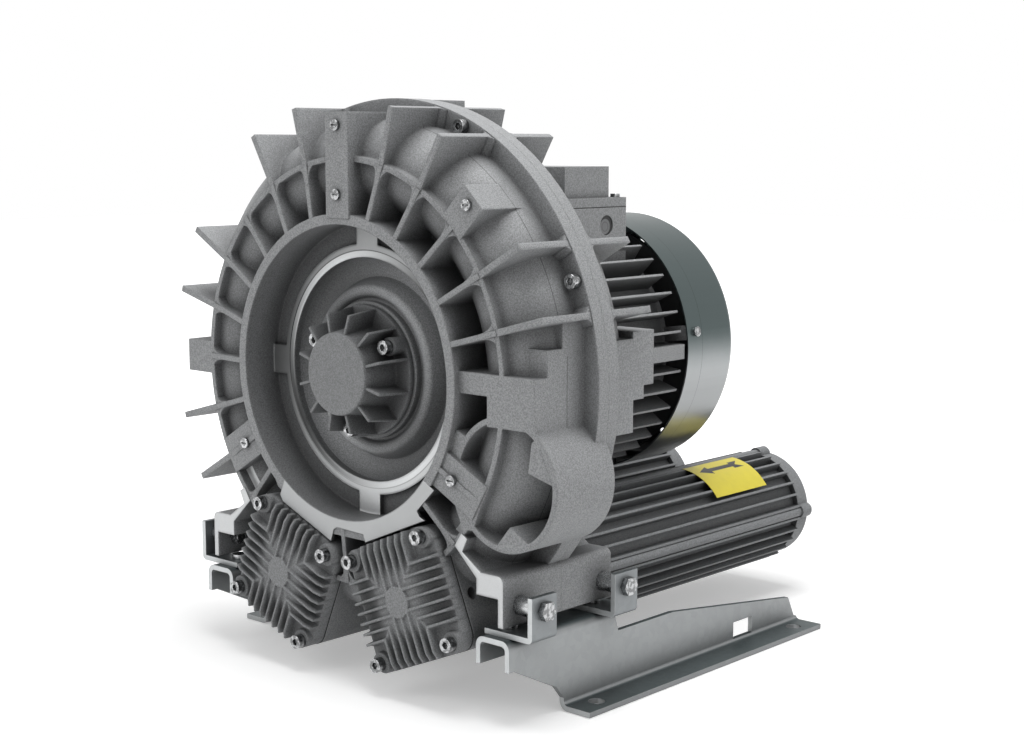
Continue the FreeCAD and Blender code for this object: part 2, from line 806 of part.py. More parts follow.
def impeller():
    body = new_piece("impeller")
    rim = f"{outer_edge} - tip_gap"
    root = f"{inner_edge} + tip_gap"
    web_front = "joint_plane - impeller_web / 2"
    web_rear = "joint_plane + impeller_web / 2"
    revolve(body, "disc", [
        ("shaft_radius + slip_fit", "impeller_front"),
        ("impeller_hub", "impeller_front"),
        ("impeller_hub", web_front),
        (root, web_front),
        (root, "channel_front + running_gap"),
        (f"{root} + blade", "channel_front + running_gap"),
        (f"{root} + blade + 6", "joint_plane - 4"),
        (f"{rim} - 3", "joint_plane - 2"),
        (f"{rim} - 3", "joint_plane + 2"),
        (f"{root} + blade + 6", "joint_plane + 4"),
        (f"{root} + blade", "channel_rear - running_gap"),
        (root, "channel_rear - running_gap"),
        (root, web_rear),
        ("impeller_hub", web_rear),
        ("impeller_hub", "impeller_rear"),
        ("shaft_radius + slip_fit", "impeller_rear"),
    ])
    upright(body, "keyway", [rectangle(
        "-key_width / 2", "impeller_front", "key_width / 2", "impeller_rear",
    )], "shaft_radius - 3", "shaft_radius + 3.4", "Pocket")
    blade = radial(body, "blade", rectangle(
        f"{root} + 1", "channel_front + running_gap", rim, "channel_rear - running_gap"), "blade")
    repeat_round(body, "blades", [blade], "blade_count")
    return body


def motor_shaft():
    body = new_piece("motor_shaft")
    revolve(body, "shaft", [
        ("0", "shaft_front"),
        ("shaft_radius", "shaft_front"),
        ("shaft_radius", "impeller_rear"),
        ("collar_radius", "impeller_rear"),
        ("collar_radius", "rotor_front - 8"),
        ("rotor_seat", "rotor_front - 8"),
        ("rotor_seat", "rotor_front + rotor_length + 6"),
        ("shaft_radius + 4", "rotor_front + rotor_length + 6"),
        ("shaft_radius + 4", "rear_bearing_front"),
        ("shaft_radius", "rear_bearing_front"),
        ("shaft_radius", "rear_bearing_front + rear_bearing_width + 2"),
        ("fan_seat", "rear_bearing_front + rear_bearing_width + 2"),
        ("fan_seat", "fan_rear"),
        ("fan_seat - 1", "fan_rear"),
        ("fan_seat - 1", "fan_rear + sheet"),
        ("fan_seat", "fan_rear + sheet"),
        ("fan_seat", "shaft_end"),
        ("0", "shaft_end"),
    ])
    seat_cut = [rectangle("-key_width / 2", "key_front", "key_width / 2", "key_front + key_length")]
    upright(body, "keyway", seat_cut, "shaft_radius - 5", "shaft_radius + 1", "Pocket")
    key = new_piece("shaft_key")
    upright(key, "bar", seat_cut, "shaft_radius - 5", "shaft_radius + 3")
    return body


def rings(label, *spans):
    """Plain rings about the shaft, each from inner and outer radius, front and rear."""
    body = new_piece(label)
    revolve(body, "rings", *[rectangle(inner, front, outer, rear) for inner, outer, front, rear in spans])
    return body


def bearing(name, front, width, outer):
    """Deep groove ball bearing: two grooved rings and the row of balls in its cage."""
    middle = f"({front} + {width} / 2)"
    pitch = f"((shaft_radius + {outer}) / 2)"
    ball = f"(0.3 * ({outer} - shaft_radius))"
    race = f"({ball} + 0.15)"
    rise = f"sqrt({race}^2 - ({pitch} - shaft_radius - bearing_ring)^2)"
    inner = new_piece(f"{name}_inner_ring")
    revolve(inner, "ring", [
        ("shaft_radius + slip_fit", front),
        ("shaft_radius + bearing_ring", front),
        ("shaft_radius + bearing_ring", f"{middle} - {rise}"),
        ("shaft_radius + bearing_ring", f"{middle} + {rise}", race, -1),
        ("shaft_radius + bearing_ring", f"{front} + {width}"),
        ("shaft_radius + slip_fit", f"{front} + {width}"),
    ])
    outer_ring = new_piece(f"{name}_outer_ring")
    rise = f"sqrt({race}^2 - ({outer} - slip_fit - bearing_ring - {pitch})^2)"
    revolve(outer_ring, "ring", [
        (f"{outer} - slip_fit", front),
        (f"{outer} - slip_fit - bearing_ring", front),
        (f"{outer} - slip_fit - bearing_ring", f"{middle} - {rise}"),
        (f"{outer} - slip_fit - bearing_ring", f"{middle} + {rise}", race, 1),
        (f"{outer} - slip_fit - bearing_ring", f"{front} + {width}"),
        (f"{outer} - slip_fit", f"{front} + {width}"),
    ])
    balls = new_piece(f"{name}_balls")
    revolve(balls, "row", [
        (f"{pitch} - {ball}", middle),
        (pitch, f"{middle} - {ball}", ball, 1),
        (f"{pitch} + {ball}", middle, ball, 1),
        (pitch, f"{middle} + {ball}", ball, 1),
        (f"{pitch} - {ball}", middle, ball, 1),
    ][1:])
    return inner, outer_ring, balls


def bearing_cap():
    body = new_piece("bearing_cap")
    revolve(body, "dome", [
        ("0", "cap_front"),
        ("cap_face_radius", "cap_front"),
        ("cap_face_radius + 5", "-cap_flange"),
        ("cap_radius", "-cap_flange"),
        ("cap_radius", "0"),
        ("bearing_radius - 0.1", "0"),
        ("bearing_radius - 0.1", "bearing_front"),
        ("cap_face_radius + 5 - cap_wall - 3", "bearing_front"),
        ("cap_face_radius - cap_wall", "cap_front + cap_wall"),
        ("0", "cap_front + cap_wall"),
    ])
    fin = radial(body, "fin", [
        ("cap_face_radius - 2", "cap_front + 1.5"), ("cap_fin_reach", "cap_front + 3"),
        ("cap_radius - 0.5", "-cap_flange + 1"), ("cap_face_radius + 2", "-cap_flange + 1"),
    ], "cap_fin", 15)
    repeat_round(body, "fins", [fin], 12)
    along(body, "lands", [spot + ("m8_head + 2",) for spot in cap_bolts], "cap_land", "-cap_flange + 1")
    bore(body, "holes", [spot + ("m8_shank + bolt_gap",) for spot in cap_bolts], "cap_land", "0")
    return body


def socket_screws(label, spots, face, reach):
    """M8 socket head screws along the shaft's direction, heads in front of a face."""
    body = new_piece(label)
    along(body, "heads", [spot + ("m8_head",) for spot in spots], f"{face} - 2 * m8_shank", face)
    bore(body, "sockets", [hexagon(*spot, "m8_key") for spot in spots], f"{face} - 2 * m8_shank",
         f"{face} - m8_shank")
    along(body, "shanks", [spot + ("m8_shank",) for spot in spots], face, reach)
    return body


def slotted_screws():
    body = new_piece("slotted_screws")
    levels = ["arm_front", "arm_front", "rib_front", "pad_front", "pad_front"]
    for index, (spot, level) in enumerate(zip(arm_screws, levels)):
        along(body, f"head{index}", [spot + ("m6_head",)], f"{level} - 3", level)
        along(body, f"shank{index}", [spot + ("m6_shank",)], level, "arm_thread")
        slot = rectangle(*[f"{middle} {sign} ({half})" for sign in ("-", "+") for middle, half in (
            (spot[0], "m6_head - 1"), (spot[1], "slot_width / 2"))])
        bore(body, f"slot{index}", [slot], f"{level} - 3", f"{level} - 3 + slot_depth")
    return body


def motor_screws():
    body = new_piece("motor_screws")
    seat_level = "motor_seat + frame_flange"
    along(body, "heads", [spot + ("m6_head",) for spot in motor_bolts],
          seat_level, f"{seat_level} + 2 * m6_shank")
    along(body, "shanks", [spot + ("m6_shank",) for spot in motor_bolts], "motor_thread", seat_level)
    return body


def tie_rods():
    """Long M6 rods that clamp each silencer between its cap and the rear casting."""
    body = new_piece("tie_rods")
    seat_level = "silencer_front + silencer_length + end_cap - 8"
    spots = rod_spots(1) + rod_spots(-1)
    along(body, "rods", [spot + ("m6_shank",) for spot in spots], "rod_thread", seat_level)
    along(body, "nuts", [spot + ("m6_head",) for spot in spots], seat_level, f"{seat_level} + 5")
    return body


def port_gaskets():
    body = new_piece("port_gaskets")
    holes = [spot + ("m8_shank + bolt_gap",) for side in (1, -1) for spot in port_bolts(side)]
    along(body, "sheets", [port_square(1), port_square(-1)] + ducts + holes, "port_face - gasket", "port_face")
    discs = [duct[:2] + ("end_bolt_circle - m6_head + 1",) for duct in ducts]
    along(body, "discs", discs + ducts, "silencer_front - gasket", "silencer_front")
    return body


def port_cover(side):
    name = "right" if side > 0 else "left"
    body = new_piece(f"port_cover_{name}", f"{side} * port_x", "0", "-port_drop")
    body.Placement.Rotation = FreeCAD.Rotation(FreeCAD.Vector(0, 1, 0), 1)
    body.setExpression("Placement.Rotation.Angle", bound(f"{-side} * port_turn"))
    plate_front = "port_face - gasket - cover_plate"
    along(body, "plate", [rounded_square("port_side / 2", "port_corner")], plate_front, "port_face - gasket")
    half = "port_bolt_side / 2"
    corners = [(u, v) for u in (half, f"-{half}") for v in (half, f"-{half}")]
    along(body, "lands", [spot + ("cover_land_radius",) for spot in corners],
          "port_face - cover_land", f"{plate_front} + 1")
    along(body, "hub", [("0", "0", "cover_hub")], f"{plate_front} - cover_fin_height", f"{plate_front} + 1")
    strips = []
    for step in range(-3, 4):
        middle = f"{step} * cover_fin_pitch"
        inner = max(abs(step) * 8.5, 12)
        strips.append(rectangle(
            f"{middle} - cover_fin / 2", str(inner), f"{middle} + cover_fin / 2", "port_side / 2 - 0.5"))
    quadrant = along(body, "fins", strips, f"{plate_front} - cover_fin_height", f"{plate_front} + 1")
    repeat_round(body, "quadrants", [quadrant], 4)
    bore(body, "holes", [spot + ("m8_shank + bolt_gap",) for spot in corners],
         "port_face - cover_land", "port_face")
    return body


def silencer(side):
    name = "right" if side > 0 else "left"
    place = (f"{side} * port_x", "0", "-port_drop")
    rear = "silencer_front + silencer_length"
    tube = new_piece(f"silencer_tube_{name}", *place)
    revolve(tube, "wall", rectangle(
        "silencer_shell - silencer_wall", "silencer_front", "silencer_shell", rear))
    fin = radial(tube, "fin", rectangle(
        "silencer_shell - 1", "silencer_front", "silencer_fin_reach", rear), "silencer_fin", 6.43)
    repeat_round(tube, "fins", [fin], "silencer_fins")
    holder = along(tube, "holder", [("0", "end_bolt_circle", "m6_head + 1")], "silencer_front", rear)
    repeat_round(tube, "holders", [holder], 4)
    rod = [(f"{u} * end_bolt_circle", f"{v} * end_bolt_circle", "m6_shank + bolt_gap")
           for u, v in ((1, 0), (0, 1), (-1, 0), (0, -1))]
    bore(tube, "rod_holes", rod, "silencer_front", rear)
    liner = new_piece(f"silencer_liner_{name}", *place)
    revolve(liner, "foam", rectangle(
        "liner_inner", "silencer_front + 2", "silencer_shell - silencer_wall - 0.3", f"{rear} - 2"))
    core = new_piece(f"silencer_core_{name}", *place)
    revolve(core, "tube", rectangle(
        "core_inner", "silencer_front + 2", "liner_inner - 0.3", f"{rear} - 2"))
    cap = new_piece(f"silencer_cap_{name}", *place)
    revolve(cap, "plate", [
        ("end_port", rear),
        ("silencer_shell + 6", rear),
        ("silencer_shell + 6", f"{rear} + end_cap - 6"),
        ("silencer_shell", f"{rear} + end_cap"),
        ("end_port", f"{rear} + end_cap"),
    ])
    lug = along(cap, "lug", [("0", "end_bolt_circle", "8")], rear, f"{rear} + end_cap - 8")
    repeat_round(cap, "lugs", [lug], 4)
    bore(cap, "rod_holes", rod, rear, f"{rear} + end_cap")
    bore(cap, "nut_room", [spot[:2] + ("m6_head + 1",) for spot in rod], f"{rear} + end_cap - 8",
         f"{rear} + end_cap")
    return tube, liner, core, cap


def motor_frame():
    body = new_piece("motor_frame")
    revolve(body, "tube", [
        ("stator_radius", "motor_seat"),
        ("motor_ring_outer", "motor_seat"),
        ("motor_ring_outer", "motor_seat + frame_flange"),
        ("stator_radius + frame_wall", "motor_seat + frame_flange"),
        ("stator_radius + frame_wall", "frame_end"),
        ("stator_radius", "frame_end"),
    ])
    fin = radial(body, "fin", rectangle(
        "stator_radius + frame_wall - 1", "fin_front", "fin_reach", "frame_end"), "fin", 126)
    repeat_round(body, "fins", [fin], 33, 288)
    along(body, "terminal_seat", [rectangle(
        "-box_half_width", "stator_radius - 20", "box_half_width", "box_seat",
    )], "box_front", "box_front + box_length")
    bore(body, "stator_room", [("0", "0", "stator_radius")], "motor_seat", "frame_end")
    lug = radial(body, "lug", rectangle(
        "stator_radius + frame_wall - 1", "frame_end - 60", "lug_reach", "frame_end"), "lug_width", 180)
    repeat_round(body, "lugs", [lug], 3, 180)
    bore(body, "screw_holes", [spot + ("m6_shank + bolt_gap",) for spot in motor_bolts],
         "motor_seat", "motor_seat + frame_flange")
    return body


def cowl_piece(label):
    """Piece turned with the cowl's screws, a little off the upright."""
    body = new_piece(label)
    body.Placement.Rotation = FreeCAD.Rotation(FreeCAD.Vector(0, 1, 0), -8)
    return body


def rear_end_shield():
    body = cowl_piece("rear_end_shield")
    hub = "rear_bearing_radius + shield_wall"
    stop = "rear_bearing_front + rear_bearing_width + spring_height"
    revolve(body, "disc", [
        ("rear_bearing_radius", "rear_bearing_front - 2"),
        (hub, "rear_bearing_front - 2"),
        (hub, "frame_end"),
        ("stator_radius + frame_wall", "frame_end"),
        ("stator_radius + frame_wall", "frame_end + shield_wall"),
        (hub, f"{stop} + 3"),
        ("shaft_radius + 8", f"{stop} + 3"),
        ("shaft_radius + 8", stop),
        ("rear_bearing_radius", stop),
    ])
    lug = radial(body, "lug", [
        ("stator_radius", "frame_end + 2"), ("cowl_radius - sheet - 0.4", "cowl_front + 2"),
        ("cowl_radius - sheet - 0.4", "cowl_hole + 7"), ("fan_radius + 6", "cowl_hole + 7"),
        ("stator_radius", "frame_end + shield_wall"),
    ], "lug_width")
    hole = sideways(body, "hole", [("cowl_hole", "0", "m6_shank + bolt_gap")],
                    "fan_radius + 8", "cowl_radius + 1", "Pocket")
    repeat_round(body, "lugs", [lug, hole], 4)
    return body


def cowl_screws():
    body = cowl_piece("cowl_screws")
    head = sideways(body, "head", [("cowl_hole", "0", "m6_head")], "cowl_radius", "cowl_radius + 3")
    shank = sideways(body, "shank", [("cowl_hole", "0", "m6_shank")], "fan_radius + 9", "cowl_radius + 1")
    repeat_round(body, "screws", [head, shank], 4)
    return body


def cooling_fan():
    body = new_piece("cooling_fan")
    revolve(body, "hub", [
        ("fan_seat + slip_fit", "fan_front"),
        ("fan_radius", "fan_front"),
        ("fan_radius", "fan_front + 3"),
        ("fan_seat + 12", "fan_front + 3"),
        ("fan_seat + 12", "fan_rear"),
        ("fan_seat + slip_fit", "fan_rear"),
    ])
    blade = radial(body, "blade", rectangle(
        "fan_seat + 10", "fan_front + 2", "fan_radius", "fan_front + fan_depth"), "blade")
    repeat_round(body, "blades", [blade], 8)
    return body


def fan_cowl():
    body = cowl_piece("fan_cowl")
    inner = "cowl_radius - sheet"
    revolve(body, "drum", [
        ("0", "cowl_end"),
        ("cowl_radius - 8", "cowl_end"),
        ("cowl_radius", "cowl_end - 8", "8", -1),
        ("cowl_radius", "cowl_front"),
        (inner, "cowl_front"),
        (inner, "cowl_end - 8"),
        ("cowl_radius - 8", "cowl_end - sheet", "8 - sheet", 1),
        ("0", "cowl_end - sheet"),
    ])
    for name, low, high in (("inner", 32, 64), ("outer", 74, 112)):
        slot = radial(body, f"slot_{name}", rectangle(
            str(low), "cowl_end - sheet - 2", str(high), "cowl_end + 2"), "6", 0, "Pocket")
        repeat_round(body, f"slots_{name}", [slot], 24)
    hole = sideways(body, "hole", [("cowl_hole", "0", "m6_shank + bolt_gap")],
                    "cowl_radius - 6", "cowl_radius + 2", "Pocket")
    repeat_round(body, "holes", [hole], 4)
    return body


def terminal_box():
    half = "box_half_width"
    rear = "box_front + box_length"
    low = "box_top + gasket"
    seat_level = f"{low} + lid_rim"
    spots = [(f"{x} * ({half} - 8)", y) for x in (1, -1) for y in ("box_front + 8", f"{rear} - 8")]
    holes = [spot + ("m6_shank + bolt_gap",) for spot in spots]
    outer = rectangle(f"-{half}", "box_front", half, rear)
    inner = rectangle(
        f"-{half} + box_wall", "box_front + box_wall", f"{half} - box_wall", f"{rear} - box_wall")
    base = new_piece("terminal_box")
    upright(base, "shell", [outer], "box_seat", "box_top")
    upright(base, "room", [inner], "box_seat + box_wall", "box_top", "Pocket")
    upright(base, "posts", [rectangle(
        f"{u} - 7", f"{v} - 7", f"{u} + 7", f"{v} + 7") for u, v in spots], "box_seat + 1", "box_top")
    upright(base, "post_holes", holes, "box_top - 16", "box_top", "Pocket")
    sideways(base, "entries", [("entry_y", "entry_z", "entry_radius")],
             f"-{half} - 1", f"{half} + 1", "Pocket")
    gasket = new_piece("terminal_gasket")
    upright(gasket, "frame", [outer, inner], "box_top", low)
    upright(gasket, "corners", [rectangle(
        f"{u} - 7", f"{v} - 7", f"{u} + 7", f"{v} + 7") for u, v in spots], "box_top", low)
    upright(gasket, "holes", holes, "box_top", low, "Pocket")
    lid = new_piece("terminal_lid")
    upright(lid, "rim", [outer], low, seat_level)
    upright(lid, "hump", [rectangle(
        f"-{half} + lid_inset", "lid_hump_front", f"{half} - lid_inset", "lid_hump_rear",
    )], f"{seat_level} - 1", "lid_top")
    upright(lid, "room", [rectangle(
        f"-{half} + lid_inset + box_wall", "lid_hump_front + box_wall",
        f"{half} - lid_inset - box_wall", "lid_hump_rear - box_wall",
    )], low, "lid_top - box_wall", "Pocket")
    upright(lid, "holes", holes, low, seat_level, "Pocket")
    screws = new_piece("lid_screws")
    upright(screws, "heads", [spot + ("m6_head",) for spot in spots], seat_level, f"{seat_level} + 3.5")
    upright(screws, "shanks", [spot + ("m6_shank",) for spot in spots], "box_top - 15", seat_level)
    plugs = new_piece("blanking_plugs")
    for name, low_x, high_x in (("left", f"-{half} + 1", f"-{half} + box_wall + 2"),
                                ("right", f"{half} - box_wall - 2", f"{half} - 1")):
        sideways(plugs, name, [("entry_y", "entry_z", "entry_radius - bolt_gap")], low_x, high_x)
    block = new_piece("terminal_block")
    floor = "box_seat + box_wall"
    upright(block, "bar", [rectangle("-35", "box_front + 40", "35", "box_front + 66")],
            floor, f"{floor} + 16")
    studs = new_piece("terminal_studs")
    upright(studs, "studs", [
        (str(x), f"box_front + {y}", "3") for x in (-22, 0, 22) for y in (46, 60)
    ], f"{floor} + 16", f"{floor} + 26")
    return base, lid


def base_rail(side):
    name = "right" if side > 0 else "left"
    body = new_piece(f"base_rail_{name}")
    outer = f"{side} * rail_outer"
    bend = "rail_bend"
    small = "(rail_bend - rail_sheet)"
    floor = "-axis_height"
    web = "(rail_outer - rail_sheet)"
    section = [
        ("rail_inner", "-rail_toe"),
        ("rail_inner", f"-rail_top - {bend}"),
        (f"rail_inner + {bend}", "-rail_top", bend, -side),
        (f"rail_outer - {bend}", "-rail_top"),
        ("rail_outer", f"-rail_top - {bend}", bend, -side),
        ("rail_outer", f"{floor} + rail_sheet + {small}"),
        (f"rail_outer + {small}", f"{floor} + rail_sheet", small, side),
        ("shoe_reach", f"{floor} + rail_sheet"),
        ("shoe_reach", floor),
        (f"rail_outer + {small}", floor),
        (web, f"{floor} + {bend}", bend, -side),
        (web, f"-rail_top - {bend}"),
        (f"rail_outer - {bend}", "-rail_top - rail_sheet", small, side),
        (f"rail_inner + {bend}", "-rail_top - rail_sheet"),
        ("rail_inner + rail_sheet", f"-rail_top - {bend}", small, side),
        ("rail_inner + rail_sheet", "-rail_toe"),
    ]
    placed = [(f"{side} * ({corner[0]})",) + corner[1:] for corner in section]
    along(body, "section", [placed], "rail_nose", "shoe_rear")
    low, high = sorted((0.72 * side, 1.2 * side))
    span = (f"{low} * rail_outer", f"{high} * rail_outer")
    above = [
        ("rail_step", "-rail_top + 5"), ("rail_step", "-rail_top"),
        ("rail_step + 7", "-rail_step_drop"), ("rail_ramp", "-rail_step_drop"),
        ("rail_tail", "-rail_tail_drop"), ("rail_rear", f"{floor} + rail_sheet + 3"),
        ("shoe_rear + 5", f"{floor} + rail_sheet + 3"), ("shoe_rear + 5", "-rail_top + 5"),
    ]
    sideways(body, "top_trim", [above], *span, "Pocket")
    below = [
        ("rail_nose - 5", "-rail_front_drop"), ("rail_nose + 7", "-rail_front_drop"),
        ("rail_front_low", "-rail_lip_drop"), ("shoe_front", f"{floor} + 12"),
        ("shoe_front", f"{floor} - 5"), ("rail_nose - 5", f"{floor} - 5"),
    ]
    sideways(body, "front_trim", [below], *span, "Pocket")
    window = rectangle(
        "window_front", f"{floor} + rail_sheet + 3", "window_front + window_length", "-window_top")
    sideways(body, "window", [window], *span, "Pocket")
    upright(body, "toe_trim", [rectangle(
        f"{side} * (rail_inner - 2)", "rail_step", f"{side} * ({web} - 3)", "shoe_rear + 5",
    )], "-rail_toe - 2", "-rail_top + 2", "Pocket")
    upright(body, "foot_holes", [
        (f"{side} * foot_hole_x", y, "foot_hole_radius")
        for y in ("foot_hole_front", "foot_hole_front + foot_hole_pitch")
    ], f"{floor} - 1", f"{floor} + rail_sheet + 1", "Pocket")
    upright(body, "bracket_holes", [
        (f"{side} * rail_bolt_x", level, "m10_shank + bolt_gap") for level in bracket_levels
    ], "-rail_top - rail_sheet - 1", "-rail_top + 1", "Pocket")
    return body


def foot_bracket(side, index):
    """Bent sheet that joins the cast foot's wall to the top of a rail."""
    body = new_piece(f"foot_bracket_{'front' if index == 0 else 'rear'}_{'right' if side > 0 else 'left'}")
    start = f"bracket_front + {index} * bracket_pitch"
    low = "-rail_top"
    section = [
        ("bracket_inner", low), ("bracket_outer - bracket_sheet", low),
        ("bracket_outer", f"{low} + bracket_sheet", "bracket_sheet", side),
        ("bracket_outer", f"{low} + bracket_height"),
        ("bracket_outer - bracket_sheet", f"{low} + bracket_height"),
        ("bracket_outer - bracket_sheet", f"{low} + bracket_sheet"),
        ("bracket_inner", f"{low} + bracket_sheet"),
    ]
    along(body, "sheet", [[(f"{side} * ({corner[0]})",) + corner[1:] for corner in section]],
          start, f"{start} + bracket_length")
    upright(body, "rail_hole", [(f"{side} * rail_bolt_x", bracket_levels[index], "m10_shank + bolt_gap")],
            f"{low} - 1", f"{low} + bracket_sheet + 1", "Pocket")
    low_x, high_x = sorted_levels(side, "bracket_outer - bracket_sheet - 1", "bracket_outer + 1")
    sideways(body, "foot_hole", [(bracket_levels[index], "-bracket_bolt_drop", "m10_shank + bolt_gap")],
             low_x, high_x, "Pocket")
    return body


def sorted_levels(side, near, far):
    """Levels of a span on one side of the middle plane, the lower one first."""
    return (near, far) if side > 0 else (f"-({far})", f"-({near})")


def foot_fasteners():
    screws = new_piece("foot_screws")
    nuts = new_piece("foot_nuts")
    spacers = new_piece("foot_spacers")
    top = "-rail_top + bracket_sheet"
    upright_spots = [(f"{side} * rail_bolt_x", level) for side in (1, -1) for level in bracket_levels]
    upright(screws, "rail_shanks", [spot + ("m10_shank",) for spot in upright_spots], f"{top} - 24", top)
    upright(screws, "rail_heads", [spot + ("m10_head",) for spot in upright_spots], top, f"{top} + 4.5")
    upright(nuts, "rail_nuts", [hexagon(*spot, "m10_head") for spot in upright_spots],
            "-rail_top - rail_sheet - 8", "-rail_top - rail_sheet")
    upright(nuts, "rail_threads", [spot + ("m10_shank + bolt_gap",) for spot in upright_spots],
            "-rail_top - rail_sheet - 9", "-rail_top - rail_sheet + 1", "Pocket")
    spots = [(level, "-bracket_bolt_drop") for level in bracket_levels]
    for side, name in ((1, "right"), (-1, "left")):
        span = sorted_levels(side, "foot_outer - foot_wall - 9", "bracket_outer")
        sideways(screws, f"{name}_shanks", [spot + ("m10_shank",) for spot in spots], *span)
        span = sorted_levels(side, "bracket_outer", "bracket_outer + 6")
        sideways(screws, f"{name}_heads", [hexagon(*spot, "m10_head + 1") for spot in spots], *span)
        span = sorted_levels(side, "foot_outer - foot_wall - 8", "foot_outer - foot_wall")
        sides = [hexagon(*spot, "m10_head") for spot in spots]
        threads = [spot + ("m10_shank + bolt_gap",) for spot in spots]
        sideways(nuts, f"{name}_nuts", sides + threads, *span)
        span = sorted_levels(side, "foot_outer", "bracket_outer - bracket_sheet")
        tubes = [spot + (radius,) for spot in spots for radius in ("spacer_radius", "m10_shank + bolt_gap")]
        sideways(spacers, name, tubes, *span)


def main():
    fill_sheet()
    front_housing()
    rear_housing()
    impeller()
    motor_shaft()
    bearing_rear = "bearing_front + bearing_width"
    rotor_rear = "rotor_front + rotor_length"
    rings("spacer_sleeve", ("shaft_radius + slip_fit", "collar_radius", bearing_rear, "impeller_front"))
    rings("front_shaft_seal", (
        "collar_radius + slip_fit", "seal_radius", f"{bearing_rear} + 1", "hub_rear - 1"))
    rings("rear_shaft_seal", (
        "collar_radius + slip_fit", "rear_seal_radius", "rear_plate + 4", "rear_plate + 12"))
    rings("lock_nut", ("shaft_radius + slip_fit", "lock_nut_radius", "shaft_front + 1", "bearing_front"))
    rings("wave_spring", (
        "rear_bearing_radius - bearing_ring", "rear_bearing_radius - 0.5",
        "rear_bearing_front + rear_bearing_width", "rear_bearing_front + rear_bearing_width + spring_height"))
    rings("fan_retaining_ring", (
        "fan_seat - 1 + slip_fit", "fan_seat + 3", "fan_rear", "fan_rear + sheet"))
    bearing("front_bearing", "bearing_front", "bearing_width", "bearing_radius")
    bearing("rear_bearing", "rear_bearing_front", "rear_bearing_width", "rear_bearing_radius")
    bearing_cap()
    socket_screws("cap_screws", cap_bolts, "cap_land", "cap_thread - 1")
    socket_screws("flange_screws", flange_bolts, "flange_front", f"{flange_rear} - 3")
    slotted_screws()
    for side in (1, -1):
        port_cover(side)
        silencer(side)
        base_rail(side)
        for index in (0, 1):
            foot_bracket(side, index)
    foot_fasteners()
    socket_screws("cover_screws", port_bolts(1) + port_bolts(-1),
                  "port_face - cover_land", "cover_thread - 1")
    port_gaskets()
    tie_rods()
    motor_frame()
    motor_screws()
    rings("stator_core", ("rotor_radius + air_gap", "stator_radius", "rotor_front", rotor_rear))
    rings("stator_winding",
          ("rotor_radius + 5", "stator_radius - 4", "rotor_front - end_turn", "rotor_front"),
          ("rotor_radius + 5", "stator_radius - 4", rotor_rear, f"{rotor_rear} + end_turn"))
    rings("rotor_core", ("rotor_seat + slip_fit", "rotor_radius", "rotor_front", rotor_rear))
    rings("rotor_end_rings", ("rotor_seat + 12", "rotor_radius - 3", "rotor_front - end_ring", "rotor_front"),
          ("rotor_seat + 12", "rotor_radius - 3", rotor_rear, f"{rotor_rear} + end_ring"))
    rear_end_shield()
    cooling_fan()
    fan_cowl()
    cowl_screws()
    terminal_box()
    document.recompute()
    write_pieces()


def write_pieces():
    for item in document.Objects:
        if "Invalid" in item.State or "Error" in item.State:
            raise RuntimeError(f"{item.Name} failed: {item.State}")
    os.makedirs("parts", exist_ok=True)
    for piece in pieces:
        if piece.Shape.isNull() or not piece.Shape.isValid():
            raise RuntimeError(f"{piece.Label} has no valid shape")
        piece.Shape.exportStep(f"parts/{piece.Label}.step")


main()
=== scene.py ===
import math

import bpy
import numpy as np
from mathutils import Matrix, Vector


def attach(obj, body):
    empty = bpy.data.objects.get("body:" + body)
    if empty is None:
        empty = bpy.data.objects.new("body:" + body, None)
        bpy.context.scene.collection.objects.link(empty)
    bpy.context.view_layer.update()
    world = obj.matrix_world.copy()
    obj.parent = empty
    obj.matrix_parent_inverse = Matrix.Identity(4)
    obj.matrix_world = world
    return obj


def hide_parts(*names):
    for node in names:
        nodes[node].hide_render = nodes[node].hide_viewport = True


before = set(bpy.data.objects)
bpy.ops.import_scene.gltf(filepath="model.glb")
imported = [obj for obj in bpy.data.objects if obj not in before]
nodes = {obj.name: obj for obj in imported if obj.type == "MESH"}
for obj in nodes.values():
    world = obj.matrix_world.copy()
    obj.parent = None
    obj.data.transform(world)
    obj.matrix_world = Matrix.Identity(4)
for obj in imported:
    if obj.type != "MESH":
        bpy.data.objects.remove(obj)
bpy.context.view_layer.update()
print("frame loaded:", len(nodes), "CAD nodes")


class Wire:
    # one output of a node; arithmetic on it adds Math nodes

    def __init__(self, graph, socket):
        self.graph = graph
        self.socket = socket

    def _math(self, operation, *values):
        return self.graph.add("ShaderNodeMath", {"operation": operation}, dict(enumerate(values)))

    def __add__(self, other):
        return self._math("ADD", self, other)

    __radd__ = __add__

    def __sub__(self, other):
        return self._math("SUBTRACT", self, other)

    def __rsub__(self, other):
        return self._math("SUBTRACT", other, self)

    def __mul__(self, other):
        return self._math("MULTIPLY", self, other)

    __rmul__ = __mul__

    def __truediv__(self, other):
        return self._math("DIVIDE", self, other)

    def __gt__(self, other):
        return self._math("GREATER_THAN", self, other)

    def __lt__(self, other):
        return self._math("LESS_THAN", self, other)

    def __pow__(self, other):
        return self._math("POWER", self, other)

    def near(self, level, reach):
        # 1 where the value lies within reach of a level
        return self._math("COMPARE", self, level, reach)

    def size(self):
        return self._math("ABSOLUTE", self)

    def root(self):
        return self._math("SQRT", self)

    def most(self, other):
        return self._math("MAXIMUM", self, other)

    def least(self, other):
        return self._math("MINIMUM", self, other)

    def between(self, low, high):
        # 0 at low, 1 at high, smooth in between
        return self.graph.add("ShaderNodeMapRange", {"interpolation_type": "SMOOTHSTEP"}, {
            "Value": self, "From Min": low, "From Max": high})


